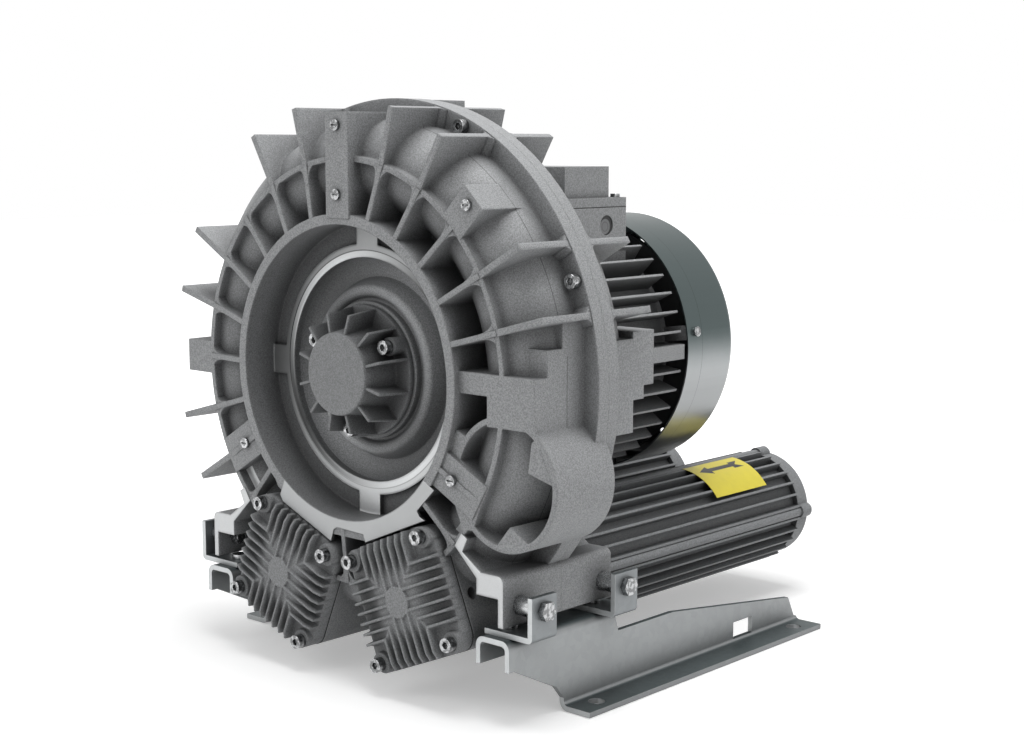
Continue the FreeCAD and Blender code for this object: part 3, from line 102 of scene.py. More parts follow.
class Graph:
    # a node tree that is written through one method

    def __init__(self, tree):
        self.tree = tree

    def add(self, kind, settings, values, output=0):
        node = self.tree.nodes.new(kind)
        for key, setting in settings.items():
            setattr(node, key, setting)
        for key, item in values.items():
            if isinstance(item, Wire):
                self.tree.links.new(item.socket, node.inputs[key])
            else:
                node.inputs[key].default_value = item
        return Wire(self, node.outputs[output])


# the shaft lies this high, and the lip of the front casting this far forward, in metres
axisHeight = 0.291
lipPlane = -0.229


class Finish(Graph):
    # a material and the few nodes that every finish starts from

    def __init__(self, name):
        self.material = bpy.data.materials.new(name)
        self.material.use_nodes = True
        super().__init__(self.material.node_tree)
        self.shader = self.tree.nodes["Principled BSDF"]
        self.place = self.add("ShaderNodeTexCoord", {}, {}, "Object")
        self.x, self.y, self.z = self.parts(self.place)

    def parts(self, vector):
        return [self.add("ShaderNodeSeparateXYZ", {}, {0: vector}, axis) for axis in range(3)]

    def facing(self):
        # the surface's own direction, three numbers from -1 to 1
        return self.parts(self.add("ShaderNodeTexCoord", {}, {}, "Normal"))

    def aboveShaft(self):
        return self.z - axisHeight

    def behindLip(self):
        return self.y - lipPlane

    def aboutShaft(self):
        # distance from the shaft's axis
        up = self.aboveShaft()
        return (self.x * self.x + up * up).root()

    def stretched(self, scale):
        return self.add("ShaderNodeMapping", {}, {"Vector": self.place, "Scale": scale})

    def noise(self, scale, detail=2.0, roughness=0.5, where=None):
        return self.add("ShaderNodeTexNoise", {}, {
            "Vector": where or self.place, "Scale": scale, "Detail": detail, "Roughness": roughness})

    def hollowShade(self, reach):
        # 0 deep in a pocket, 1 in the open; the finishes darken their colour by it as painted shade
        return self.add("ShaderNodeAmbientOcclusion", {"samples": 6}, {"Distance": reach}, "AO")

    def rounded(self, radius):
        return self.add("ShaderNodeBevel", {"samples": 4}, {"Radius": radius})

    def edges(self, soft):
        # near 1 on an outside or inside corner, 0 on open faces; the finishes lighten their colour by it
        # as painted highlight
        flat = self.add("ShaderNodeNewGeometry", {}, {}, "Normal")
        turn = self.add("ShaderNodeVectorMath", {"operation": "DOT_PRODUCT"}, {0: soft, 1: flat}, "Value")
        return (1.0 - turn).between(0.01, 0.22)

    def tint(self, colour, strength):
        return self.add("ShaderNodeVectorMath", {"operation": "SCALE"}, {0: colour, "Scale": strength})

    def mix(self, share, first, second):
        return self.add("ShaderNodeMix", {"data_type": "RGBA"}, {0: share, 6: first, 7: second}, 2)

    def bump(self, height, distance, strength=1.0, over=None):
        values = {"Height": height, "Distance": distance, "Strength": strength}
        if over:
            values["Normal"] = over
        return self.add("ShaderNodeBump", {}, values)

    def set(self, **values):
        for name, item in values.items():
            socket = self.shader.inputs[name.replace("_", " ")]
            if isinstance(item, Wire):
                self.tree.links.new(item.socket, socket)
            else:
                socket.default_value = item


def opaque(colour):
    return tuple(colour) + (1.0,)


# where the castings change their finish and their painted shade and highlights: rings about the shaft,
# levels behind the lip, in metres
castZones = {
    "dish": 0.1045,  # the dish inside the lip ends, its turned cone begins
    "cone": 0.1105,
    "groove": 0.1112,
    "floor": 0.1362,  # inner wall of the collar
    "lip": 0.1372,  # outer ends of the lip's bridges
    "parting": (0.0125, 0.2285, 0.2340),  # level and rings of the line where the mould's halves met
    "strips": (-0.030, -0.126, 0.140),  # level, highest point and least width of the feet's strips
    "ports": (-0.020, -0.10),  # level and highest point of the port faces
    "rear": (0.126, 0.117),  # levels of the rear casting's turned faces
    "flush": 0.0006,
}
castPaint = (0.285, 0.291, 0.297)
cutMetal = (0.56, 0.57, 0.575)


def castFinish(name, colour, grain=0.00034, fillet=0.0035, pocket=0.027, cut=None):
    # painted casting: fine sand grain, soft clouds, painted shade in pockets out to the reach pocket,
    # painted highlight on edges and inside corners;
    # cut gives the faces that were machined bright after casting
    finish = Finish(name)
    fine = finish.noise(820.0, 3.0, 0.8)
    grit = finish.noise(380.0, 2.0, 0.6)
    clouds = finish.noise(8.0, 4.0, 0.55)
    soft = finish.rounded(fillet)
    speck = fine.between(0.34, 0.66)
    # grain and clouds, darkened in hollows as painted shade
    shade = (0.60 + 0.62 * speck + 0.16 * clouds) * (0.16 + 0.84 * finish.hollowShade(pocket) ** 1.3)
    # edges and inside corners lightened as painted highlight
    shade = shade * (1.0 + 0.24 * finish.edges(soft))
    if cut:
        # a dark parting line, then painted shade and highlight inside the collar
        shade = shade * (1.0 - 0.55 * partingLine(finish, castZones)) * innerShadeAndHighlight(finish, castZones)
    paint = finish.tint(colour, shade)
    rough = 0.50 + 0.16 * speck
    height = fine + 0.5 * grit
    if cut:
        share = cut(finish, castZones)
        arcs = finish.noise(900.0, 2.0, 0.5, finish.stretched((1.0, 0.05, 1.0)))
        bare = finish.tint(cutMetal, 0.90 + 0.12 * arcs + 0.06 * speck)
        finish.set(
            # the bare lip takes painted reflection and painted shade
            Base_Color=finish.mix(share, paint, finish.tint(bare, lipReflectionAndShade(finish, castZones))),
            Roughness=rough - 0.16 * share,
            Metallic=share * 0.6,
            Normal=finish.bump(height * (1.0 - 0.8 * share), grain, 0.8, soft),
        )
    else:
        finish.set(Base_Color=paint, Roughness=rough, Normal=finish.bump(height, grain, 0.8, soft))
    finish.shader.inputs["Specular IOR Level"].default_value = 0.40
    return finish.material


def partingLine(finish, zones):
    # a fine dark line round the outside of the channel, not quite straight
    level, inner, outer = zones["parting"]
    out = finish.aboutShaft()
    wander = 0.0006 * finish.noise(6.0, 1.0)
    return (finish.behindLip() + wander).near(level, 0.00042) * (out > inner) * (out < outer)


def innerShadeAndHighlight(finish, zones):
    # painted shade inside the collar; on the dish painted shade too, with a painted highlight at its upper
    # right and lower left
    out = finish.aboutShaft()
    turn = (finish.x + finish.z - axisHeight) * 0.7071 / out.most(0.01)
    floor = (out < zones["floor"]) * (out > zones["dish"])
    dish = out < zones["dish"]
    return 1.0 - 0.36 * floor + dish * (0.80 * turn * turn - 0.32)


def lipReflectionAndShade(finish, zones):
    # the lip's inner half is a turned cone with a painted reflection: bright at its upper left and lower
    # right, dark between;
    # its flat outer half and the bridges carry painted shade, darker above and to the left than below
    out = finish.aboutShaft()
    up = finish.aboveShaft()
    # angle round the shaft that sets the cone's painted reflection
    reflectionSwing = (finish.x * up * 1.73 + (finish.x * finish.x - up * up) * 0.5) / (out * out).most(0.0001)
    cone = (out < zones["cone"]) * (out > zones["dish"])
    groove = out.near(zones["groove"], 0.0005)
    flat = (out > zones["cone"]) * (out < zones["lip"])
    below = (up * -1.0 / out.most(0.01)).most(0.0)
    left = (finish.x * -1.0 / out.most(0.01)).between(0.6, 1.0)
    # painted shade on the flat ring and the bridges
    paintedShade = 0.40 - 0.50 * below + 0.22 * left
    return 1.0 - cone * (0.30 + 0.55 * reflectionSwing) - flat * paintedShade - 0.35 * groove


def frontCuts(finish, zones):
    # lip ring and bridges, the strips of the feet, the port faces
    flush = zones["flush"]
    stripLevel, stripTop, stripSide = zones["strips"]
    portLevel, portTop = zones["ports"]
    behind, up = finish.behindLip(), finish.aboveShaft()
    out = finish.aboutShaft()
    forward = finish.facing()[1] < -0.9
    lip = behind.near(0.0, flush) * (out > zones["dish"]) * (out < zones["lip"])
    strip = behind.near(stripLevel, 0.0002) * (up < stripTop) * (finish.x.size() > stripSide)
    ports = behind.near(portLevel, flush) * (up < portTop)
    return forward * (lip + strip + ports).least(1.0)


def rearCuts(finish, zones):
    # the turned faces at two levels, whichever way they look along the shaft
    behind = finish.behindLip()
    ring, pads = (behind.near(level, zones["flush"]) for level in zones["rear"])
    return (finish.facing()[1].size() > 0.9) * (ring + pads).least(1.0)


def bareMetal(name, colour, roughness, streak, scale=(1.0, 1.0, 1.0), pocket=0.02):
    # cut or rolled metal with fine streaks along one direction, with painted shade in its corners
    finish = Finish(name)
    lines = finish.noise(700.0, 3.0, 0.6, finish.stretched(scale))
    clouds = finish.noise(22.0, 3.0, 0.5)
    soft = finish.rounded(0.0007)
    # streaks and clouds, with painted shade in the corners
    shade = (0.84 + 0.18 * clouds + 0.10 * lines) * (0.35 + 0.65 * finish.hollowShade(pocket))
    finish.set(
        Base_Color=finish.tint(colour, shade),
        Roughness=roughness - 0.07 + 0.14 * lines + 0.05 * clouds,
        Normal=finish.bump(lines, streak, 0.5, soft),
        Metallic=1.0,
    )
    return finish.material


def chromed(name):
    # small bright screw heads: painted reflection as dark and light patches, painted highlight on the
    # rims, painted shade black in the drive
    finish = Finish(name)
    # patches that stand for painted reflection
    reflectionPatches = finish.noise(260.0, 1.0, 0.5)
    fine = finish.noise(1400.0, 2.0, 0.5)
    soft = finish.rounded(0.0006)
    # painted shade deep in the drive, then painted highlight on the rims
    shade = (0.62 + 0.8 * reflectionPatches.between(0.42, 0.62)) * (0.34 + 0.66 * finish.hollowShade(0.004))
    shade = shade * (1.0 + 0.9 * finish.edges(soft))
    finish.set(
        Base_Color=finish.tint((0.34, 0.345, 0.35), shade),
        Roughness=0.20 + 0.10 * fine,
        Normal=finish.bump(reflectionPatches, 0.0004, 0.5, soft),
        Metallic=1.0,
    )
    return finish.material


# blanking plug of the terminal box: its middle behind the lip and above the shaft, its disc with painted
# shadow beyond it, and mark
plug = {
    "behind": 0.2556,
    "above": 0.1262,
    "disc": (0.0081, 0.0075),
    "mark": 0.0046,
}


def plugFinish(name, size):
    # dark recessed plug: a duller disc set low and forward, ringed by a black seat that is painted shadow
    finish = Finish(name)
    fine = finish.noise(1300.0, 2.0)
    along = finish.behindLip() - size["behind"]
    up = finish.aboveShaft() - size["above"]
    off = (along ** 2.0 + up ** 2.0).root()
    disc = off.between(*size["disc"])
    mark = off.near(size["mark"], 0.0005)
    # black outside the disc: painted shadow
    shade = (0.10 + 0.90 * disc) * (0.86 + 0.2 * fine) * (1.0 - 0.4 * mark)
    finish.set(
        Base_Color=finish.tint((0.17, 0.173, 0.177), shade),
        Roughness=0.52 + 0.1 * fine,
        Normal=finish.bump(disc + 0.05 * fine, 0.0012, 0.8),
    )
    return finish.material


def galvanised(name, lit, paintedShade):
    # zinc-coated sheet: soft spangle; flat faces darker and bluer than the upright ones, as painted shade,
    # and painted shade in the corners
    finish = Finish(name)
    cells = finish.add("ShaderNodeTexVoronoi", {"feature": "F1"}, {
        "Vector": finish.place, "Scale": 150.0, "Randomness": 1.0}, "Color")
    spangle = finish.add("ShaderNodeSeparateColor", {}, {0: cells}, 0)
    clouds = finish.noise(9.0, 4.0, 0.6)
    fine = finish.noise(1100.0, 2.0, 0.5)
    back, up = finish.facing()[1:]
    flat = up.size().between(0.55, 0.9)
    edge = back.size().between(0.8, 0.95)
    # painted shade in the corners
    shade = (0.88 + 0.05 * spangle + 0.16 * clouds) * (0.30 + 0.70 * finish.hollowShade(0.03))
    # flat faces take the painted shade tone
    base = finish.mix(flat, opaque(lit), opaque(paintedShade))
    base = finish.mix(edge, base, opaque((0.60, 0.62, 0.625)))
    finish.set(
        Base_Color=finish.tint(base, shade),
        Roughness=0.40 - 0.05 * spangle + 0.10 * clouds,
        Normal=finish.bump(fine, 0.00003, 0.5, finish.rounded(0.0008)),
        Metallic=0.55,
    )
    return finish.material


# drawn cowl: its radius, the seam's place behind the lip, the tones of its painted reflection from the top
# down
cowl = {
    "radius": 0.1348,
    "seam": 0.3405,
    "top": (0.085, 0.108, 0.108),
    "side": (0.34, 0.351, 0.356),
    "bottom": (0.13, 0.135, 0.135),
}


def cowlFinish(name, size):
    # painted reflection: dark slate above, paler down the side, darker again below; one upright seam
    # behind the screws
    finish = Finish(name)
    clouds = finish.noise(11.0, 5.0, 0.6)
    lines = finish.noise(260.0, 3.0, 0.6, finish.stretched((1.0, 0.02, 1.0)))
    # height on the cowl sets the bands of its painted reflection
    level = finish.aboveShaft() / size["radius"] + 0.10 * clouds
    seam = finish.behindLip().near(size["seam"], 0.00035)
    tone = finish.mix(level.between(0.20, -0.20), opaque(size["top"]), opaque(size["side"]))
    tone = finish.mix(level.between(-0.62, -0.70), tone, opaque(size["bottom"]))
    finish.set(
        Base_Color=finish.tint(tone, (0.93 + 0.08 * lines + 0.06 * clouds) * (1.0 - 0.35 * seam)),
        Roughness=0.24 + 0.10 * clouds + 0.05 * lines,
        Normal=finish.bump(lines - 1.5 * seam, 0.00002, 0.4),
        Metallic=0.9,
    )
    return finish.material


def moulded(name, colour, roughness, grain=0.00005, pocket=0.02):
    # plastic, rubber or foam: fine pebble, a little cloud, painted shade in its corners
    finish = Finish(name)
    fine = finish.noise(1500.0, 2.0)
    clouds = finish.noise(40.0, 3.0)
    finish.set(
        Base_Color=finish.tint(colour, (0.88 + 0.2 * clouds) * (0.3 + 0.7 * finish.hollowShade(pocket))),
        Roughness=roughness - 0.05 + 0.1 * fine,
        Normal=finish.bump(fine, grain, 0.6, finish.rounded(0.0008)),
    )
    return finish.material


finishes = {
    # castFinish's numbers after the colour: grain, fillet and pocket, the reach of the shade painted into
    # hollows
    "frontCasting": castFinish("frontCasting", castPaint, cut=frontCuts),
    "rearCasting": castFinish("rearCasting", castPaint, cut=rearCuts),
    "capCasting": castFinish("capCasting", (0.216, 0.221, 0.226), fillet=0.0040, pocket=0.035),
    "coverPaint": castFinish("coverPaint", (0.230, 0.236, 0.241), 0.00022, 0.0007, 0.014),
    "motorPaint": castFinish("motorPaint", (0.285, 0.291, 0.296), 0.00020, 0.0012, 0.085),
    "boxPaint": castFinish("boxPaint", (0.27, 0.276, 0.281), 0.00022, 0.0015, 0.03),
    "tubePaint": castFinish("tubePaint", (0.205, 0.212, 0.218), 0.00012, 0.0007, 0.016),
    "tubeCap": castFinish("tubeCap", (0.20, 0.206, 0.212), 0.00012, 0.0012, 0.02),
    "machined": bareMetal("machined", (0.80, 0.80, 0.80), 0.34, 0.00003),
    "zincSteel": bareMetal("zincSteel", cutMetal, 0.24, 0.00001, pocket=0.008),
    "screwSteel": chromed("screwSteel"),
    "darkSteel": bareMetal("darkSteel", (0.28, 0.28, 0.29), 0.36, 0.00002),
    "lamination": bareMetal("lamination", (0.30, 0.30, 0.31), 0.5, 0.00008, (0.05, 6.0, 0.05)),
    "copper": bareMetal("copper", (0.72, 0.33, 0.16), 0.35, 0.00012, (0.3, 3.0, 0.3)),
    "brass": bareMetal("brass", (0.78, 0.58, 0.28), 0.3, 0.00002),
    "cowlSheet": cowlFinish("cowlSheet", cowl),
    # upright faces' lit tone, then the painted shade tone of flat faces
    "zincSheet": galvanised("zincSheet", (0.33, 0.343, 0.348), (0.075, 0.094, 0.097)),
    "bracketSheet": galvanised("bracketSheet", (0.26, 0.276, 0.285), (0.16, 0.177, 0.182)),
    "millFace": bareMetal("millFace", (0.36, 0.367, 0.37), 0.42, 0.00002, (1.0, 0.05, 1.0)),
    "blackPlastic": moulded("blackPlastic", (0.030, 0.031, 0.032), 0.5),
    "greyPlastic": moulded("greyPlastic", (0.060, 0.061, 0.063), 0.5, pocket=0.012),
    "plugPlastic": plugFinish("plugPlastic", plug),
    "rubber": moulded("rubber", (0.018, 0.018, 0.018), 0.7),
    "foam": moulded("foam", (0.05, 0.05, 0.048), 0.95, 0.0008),
}
print("finishes ready:", len(finishes))

wearing = {
    "frontCasting": ["front_housing"],
    "rearCasting": ["rear_housing"],
    "capCasting": ["bearing_cap"],
    "coverPaint": ["port_cover_left", "port_cover_right"],
    "motorPaint": ["motor_frame", "rear_end_shield"],
    "boxPaint": ["terminal_box", "terminal_lid"],
    "tubePaint": ["silencer_tube_left", "silencer_tube_right"],
    "tubeCap": ["silencer_cap_left", "silencer_cap_right"],
    "machined": ["impeller", "rotor_end_rings"],
    "zincSteel": [
        "tie_rods", "foot_nuts", "foot_spacers", "motor_screws", "lock_nut",
        "spacer_sleeve", "wave_spring", "shaft_key", "front_bearing_inner_ring",
        "front_bearing_outer_ring", "front_bearing_balls", "rear_bearing_inner_ring",
        "rear_bearing_outer_ring", "rear_bearing_balls"],
    "screwSteel": [
        "cap_screws", "flange_screws", "slotted_screws", "cover_screws", "foot_screws", "cowl_screws",
        "lid_screws"],
    "darkSteel": ["motor_shaft", "fan_retaining_ring"],
    "lamination": ["stator_core", "rotor_core"],
    "copper": ["stator_winding"],
    "brass": ["terminal_studs"],
    "cowlSheet": ["fan_cowl"],
    "zincSheet": ["base_rail_left", "base_rail_right", "silencer_core_left", "silencer_core_right"],
    "bracketSheet": [
        "foot_bracket_front_left", "foot_bracket_front_right", "foot_bracket_rear_left",
        "foot_bracket_rear_right"],
    "blackPlastic": ["cooling_fan"],
    "plugPlastic": ["blanking_plugs"],
    "greyPlastic": ["terminal_block"],
    "rubber": ["port_gaskets", "terminal_gasket", "front_shaft_seal", "rear_shaft_seal"],
    "foam": ["silencer_liner_left", "silencer_liner_right"],
}
for finishName, names in wearing.items():
    for name in names:
        slots = nodes[name].data.materials
        slots.clear()
        slots.append(finishes[finishName])
print("nodes dressed:", sum(len(names) for names in wearing.values()), "of", len(nodes))


def placed(right, behind, up):
    # millimetres to the right of and above the shaft and behind the lip, as points of the frame
    places = np.broadcast_arrays(right / 1000, lipPlane + behind / 1000, axisHeight + up / 1000)
    return np.stack(places, axis=-1)


def prisms(first, second):
    # closed prisms between pairs of outlines, each counterclockwise as seen outside its first one:
    # a face on either outline and four-sided walls from corner to corner
    count = first.shape[1]
    corner = np.arange(count)
    after = np.roll(corner, -1)
    ends = np.stack([corner, 2 * count - 1 - corner])
    walls = np.stack([corner, count + corner, count + after, after], axis=-1)
    start = 2 * count * np.arange(len(first))[:, None, None]
    points = np.stack([first, second], axis=1).reshape(-1, 3)
    return points, (start + ends).reshape(-1, count).tolist() + (start + walls).reshape(-1, 4).tolist()


def drawnBack(outline, front, rear):
    # one prism: the outline of right and up, at the front level and at the rear one
    right, up = outline.T
    return prisms(placed(right, front, up)[None], placed(right, rear, up)[None])


def arcAndBack(radius, turns, steps, back):
    # an outline: an arc between two angles, radius times cosine and sine, then corners back to it
    turn = np.linspace(*np.radians(turns), steps)
    return np.concatenate([radius * np.stack([np.cos(turn), np.sin(turn)], axis=-1), back])


def spun(angles, radius, off, behind):
    # one outline at each angle about the shaft: radius along that spoke, off across it
    turn = np.radians(angles)[:, None]
    right = radius * np.cos(turn) - off * np.sin(turn)
    return placed(right, behind, radius * np.sin(turn) + off * np.cos(turn))


def newPiece(name, mould, finish, smooth=False):
    # the mould is the points as an array and the faces as a list
    points, faces = mould
    mesh = bpy.data.meshes.new(name)
    mesh.from_pydata(points.tolist(), [], faces)
    mesh.materials.append(finish)
    if smooth:
        mesh.shade_smooth()
    made = bpy.data.objects.new(name, mesh)
    bpy.context.scene.collection.objects.link(made)
    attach(made, "machine")
    return made


# yellow direction plate stuck over the ribs of the right silencer, in mm
flowLabel = {
    "axis": (81.5, -198.0),
    "radius": 61.7,
    "thick": 0.4,
    "span": (86.0, 36.5),
    "rows": 33,
    "front": 375.5,
    "length": 92.5,
}

# its arrow, in shares of the sheet: u runs back along the silencer, v round it
arrow = {
    "middle": 0.30,
    "bar": (0.26, 0.80),
    "barHalf": 0.058,
    "tip": 0.10,
    "headEnd": 0.30,
    "headSlope": 0.72,
    "tail": (0.72, 0.90),
    "tailHalf": 0.115,
    "notch": 0.80,
    "notchSlope": 1.1,
}


def labelFinish(size):
    # yellow film with one plain arrow against the flow, faint scuffs
    finish = Finish("labelFilm")
    u, v = finish.parts(finish.add("ShaderNodeUVMap", {"uv_map": "sheet"}, {}))[:2]
    off = (v - size["middle"]).size()
    bar = (off < size["barHalf"]) * (u > size["bar"][0]) * (u < size["bar"][1])
    head = (off < (u - size["tip"]) * size["headSlope"]) * (u < size["headEnd"])
    tail = (off < size["tailHalf"]) * (u > size["tail"][0]) * (u < size["tail"][1])
    tail = tail * (off > (u - size["notch"]) * size["notchSlope"])
    drawn = (bar + head + tail).least(1.0)
    scuff = finish.noise(90.0, 5.0, 0.7)
    film = finish.mix(drawn, opaque((0.69, 0.585, 0.045)), opaque((0.012, 0.012, 0.012)))
    finish.set(
        Base_Color=finish.tint(film, 0.90 + 0.18 * scuff),
        Roughness=0.34 + 0.16 * scuff,
        Normal=finish.bump(scuff, 0.00003, 0.4),
    )
    return finish.material


def makeLabel(size):
    # two cylinders about the silencer's axis, outer sheet first: radius times cosine and sine, rows
    # by angle, each with a front and a rear end; strips between them and along their edges
    rows = size["rows"]
    turn = np.radians(np.linspace(*size["span"], rows))[:, None]
    radius = size["radius"] + np.array([size["thick"], 0.0])[:, None, None]
    behind = size["front"] + np.array([0.0, size["length"]])
    right = size["axis"][0] + radius * np.cos(turn)
    up = size["axis"][1] + radius * np.sin(turn)
    points = placed(right, behind, up).reshape(-1, 3)
    count = 2 * rows
    near = np.arange(0, count - 2, 2)
    strips = np.array([
        (near, near + 2, near + 3, near + 1),
        (count + near, count + near + 1, count + near + 3, count + near + 2),
        (near, count + near, count + near + 2, near + 2),
        (near + 1, near + 3, count + near + 3, count + near + 1),
    ])
    ends = [[0, 1, count + 1, count], [count - 2, 2 * count - 2, 2 * count - 1, count - 1]]
    faces = strips.transpose(2, 0, 1).reshape(-1, 4).tolist() + ends
    label = newPiece("flowLabel", (points, faces), labelFinish(arrow))
    corner = np.empty(len(label.data.loops), dtype=np.int32)
    label.data.loops.foreach_get("vertex_index", corner)
    row, side = np.divmod(corner % count, 2)
    sheet = np.stack([side, row / (rows - 1)], axis=-1).astype(np.float32)
    label.data.uv_layers.new(name="sheet").data.foreach_set("uv", sheet.ravel())


makeLabel(flowLabel)
print("direction plate made")

# milled face of the web under the collar, over the spokes' ends, from the shaft, in mm
webPlate = {
    "inner": 136.4,
    "turns": (-126.5, -38.5),
    "steps": 40,
    "low": [(120.0, -92.4), (98.5, -113.7), (101.5, -118.3), (108.0, -121.2), (64.0, -139.6),
            (31.0, -153.2), (28.4, -146.0), (-7.0, -144.6), (-12.0, -147.5), (-16.0, -159.0),
            (-84.0, -131.2), (-87.9, -124.4)],
    "front": -35.3,
    "thick": 4.0,
    "rim": 0.0006,
}


def makeWebPlate(size):
    # a closed prism: an arc of the collar's inside, then back along the low edge
    outline = arcAndBack(size["inner"], size["turns"], size["steps"], size["low"])[::-1]
    mould = drawnBack(outline, size["front"], size["front"] + size["thick"])
    rim = newPiece("webPlate", mould, finishes["millFace"]).modifiers.new("rim", "BEVEL")
    rim.width = size["rim"]
    rim.segments = 2
    rim.limit_method = "ANGLE"
    rim.angle_limit = math.radians(40)


makeWebPlate(webPlate)
print("web face made")

# cast gussets where the spokes meet the band: distance from the shaft and half width, in mm
spokeFlares = {
    "angles": [15 * k for k in range(1, 23)],
    "side": [(176.0, 2.3), (183.0, 3.0), (188.0, 4.6), (191.2, 6.9), (193.1, 9.8)],
    "collar": (142.5, -35.06),
    "slope": 0.0938,
    "rise": (183.0, 193.1, 1.27),
    "rear": -14.0,
}


def spokeFront(radius, size):
    # the spokes' front slopes from the collar's face, and the gussets end flush with the band's
    start, level = size["collar"]
    low, high, rise = size["rise"]
    return level + (radius - start) * size["slope"] + rise * np.maximum(0.0, (radius - low) / (high - low))


def makeSpokeFlares(size):
    # one closed prism a spoke: out along one side and back along the other, at the front and the rear
    radius, half = np.array(size["side"]).T
    radius, off = np.append(radius, radius[::-1]), np.append(-half, half[::-1])
    front, rear = (spun(size["angles"], radius, off, level)
                   for level in (spokeFront(radius, size), size["rear"]))
    newPiece("spokeFlares", prisms(front, rear), finishes["frontCasting"])


makeSpokeFlares(spokeFlares)

# hollow fillets in the corners between the outer ribs and the flange, in mm
bayFillets = {
    "angles": [15, 30, 60, 75, 105, 120, 150, 165, 195, 210],
    "half": 2.9,
    "inner": 230.0,
    "outer": 248.9,
    "corner": 8.0,
    "steps": 10,
    "levels": [(33.2, -1), (59.8, 1)],
}


def makeBayFillets(size):
    # each is a corner of a square less a quarter disc, 1 - cosine by 1 - sine, drawn out along the rib
    turn = np.linspace(0, math.pi / 2, size["steps"])
    across = size["half"] + size["corner"] * np.append(0, 1 - np.cos(turn))
    along = size["corner"] * np.append(0, 1 - np.sin(turn))
    inner, outer = [], []
    for level, ahead in size["levels"]:
        for hand in (-1, 1):
            order = slice(None, None, -1 if hand * ahead > 0 else 1)
            for ends, radius in ((inner, size["inner"]), (outer, size["outer"])):
                ends.append(spun(size["angles"], radius, hand * across, level + ahead * along)[:, order])
    mould = prisms(np.concatenate(inner), np.concatenate(outer))
    newPiece("bayFillets", mould, finishes["frontCasting"])


makeBayFillets(bayFillets)

# infill behind the upper right flat of the side port, against the drum's wall, in mm
drumInfill = {
    "middle": (198.0, -78.0),
    "wall": 55.5,
    "turns": (5.0, 53.0),
    "steps": 12,
    "inside": [(34.2, 42.0), (43.2, 24.6), (51.6, 8.0)],
    "front": -28.9,
    "rear": -12.0,
}


def makeDrumInfill(size):
    # a closed prism: an arc inside the drum's wall, then back under the flat's edge
    outline = arcAndBack(size["wall"], size["turns"], size["steps"], size["inside"]) + size["middle"]
    mould = drawnBack(outline, size["front"], size["rear"])
    newPiece("drumInfill", mould, finishes["frontCasting"])


makeDrumInfill(drumInfill)
print("spoke gussets, bay fillets and drum infill made")

# die-cast port cover, in mm: four fields of ribs round a hub; heights are over its plate
portCover = {
    "middle": (81.5, -198.0),
    "turn": 22.5,
    "half": 58.2,
    "corner": 16.0,
    "cells": 212,
    "back": -21.0,
    "plate": -33.0,
    "ribs": 12.0,
    "pitch": 9.6,
    "rib": 2.5,
    "shallow": 2.2,  # depth of the valleys by the hub
    "deep": 11.6,  # and at the rim
    "fall": (20, 52),
    "diagonal": (1.6, 0.4, 4.5, 34),  # depth, flat half, foot half and end of the webs between the fields
    "droop": (2.5, 50, 58),  # how far the ribs fall at the rim, from and to
    "pocket": (30.4, 32.0),  # the corners are flat from here out
    "floor": (1.2, 0.06),
    "hub": 15.0,
    "boss": (48.5, 10.8, 6.6),
}


def smooth(value, low, high):
    # 0 below low, 1 above high, an S between them
    share = np.clip((value - low) / (high - low), 0, 1)
    return share * share * (3 - 2 * share)


def coverHeight(u, v, size):
    # rib tops at one level, valleys that fall from the hub to the rim, webs on the diagonals,
    # flat corners with the screws' bosses, and the hub over all: each blended in by its own S
    wide, tall = np.abs(u), np.abs(v)
    out = np.maximum(wide, tall)
    across = np.where(tall > wide, u, v)
    step = np.clip(np.round(across / size["pitch"]), -3, 3)
    gap = np.abs(across - step * size["pitch"])
    rib = 1 - smooth(gap, size["rib"] / 2 - 0.2, size["rib"] / 2 + 0.9)
    valley = size["ribs"] - size["shallow"] - (size["deep"] - size["shallow"]) * smooth(out, *size["fall"])
    depth, flat, foot, end = size["diagonal"]
    web = (1 - smooth(np.abs(wide - tall), flat, foot)) * (out < end)
    valley = valley + (size["ribs"] - depth - valley) * web
    droop, start, rim = size["droop"]
    high = size["ribs"] - droop * smooth(out, start, rim)
    ground = valley + (high - valley) * rib
    low, slope = size["floor"]
    pocket = smooth(np.minimum(wide, tall), *size["pocket"])
    ground = ground + (low + slope * (rim - out) - ground) * pocket
    place, reach, level = size["boss"]
    boss = 1 - smooth(np.hypot(wide - place, tall - place), reach - 0.6, reach + 0.8)
    ground = np.maximum(ground, level * boss)
    hub = 1 - smooth(np.hypot(u, v), size["hub"] - 0.5, size["hub"] + 0.8)
    return np.maximum(ground, size["ribs"] * hub)


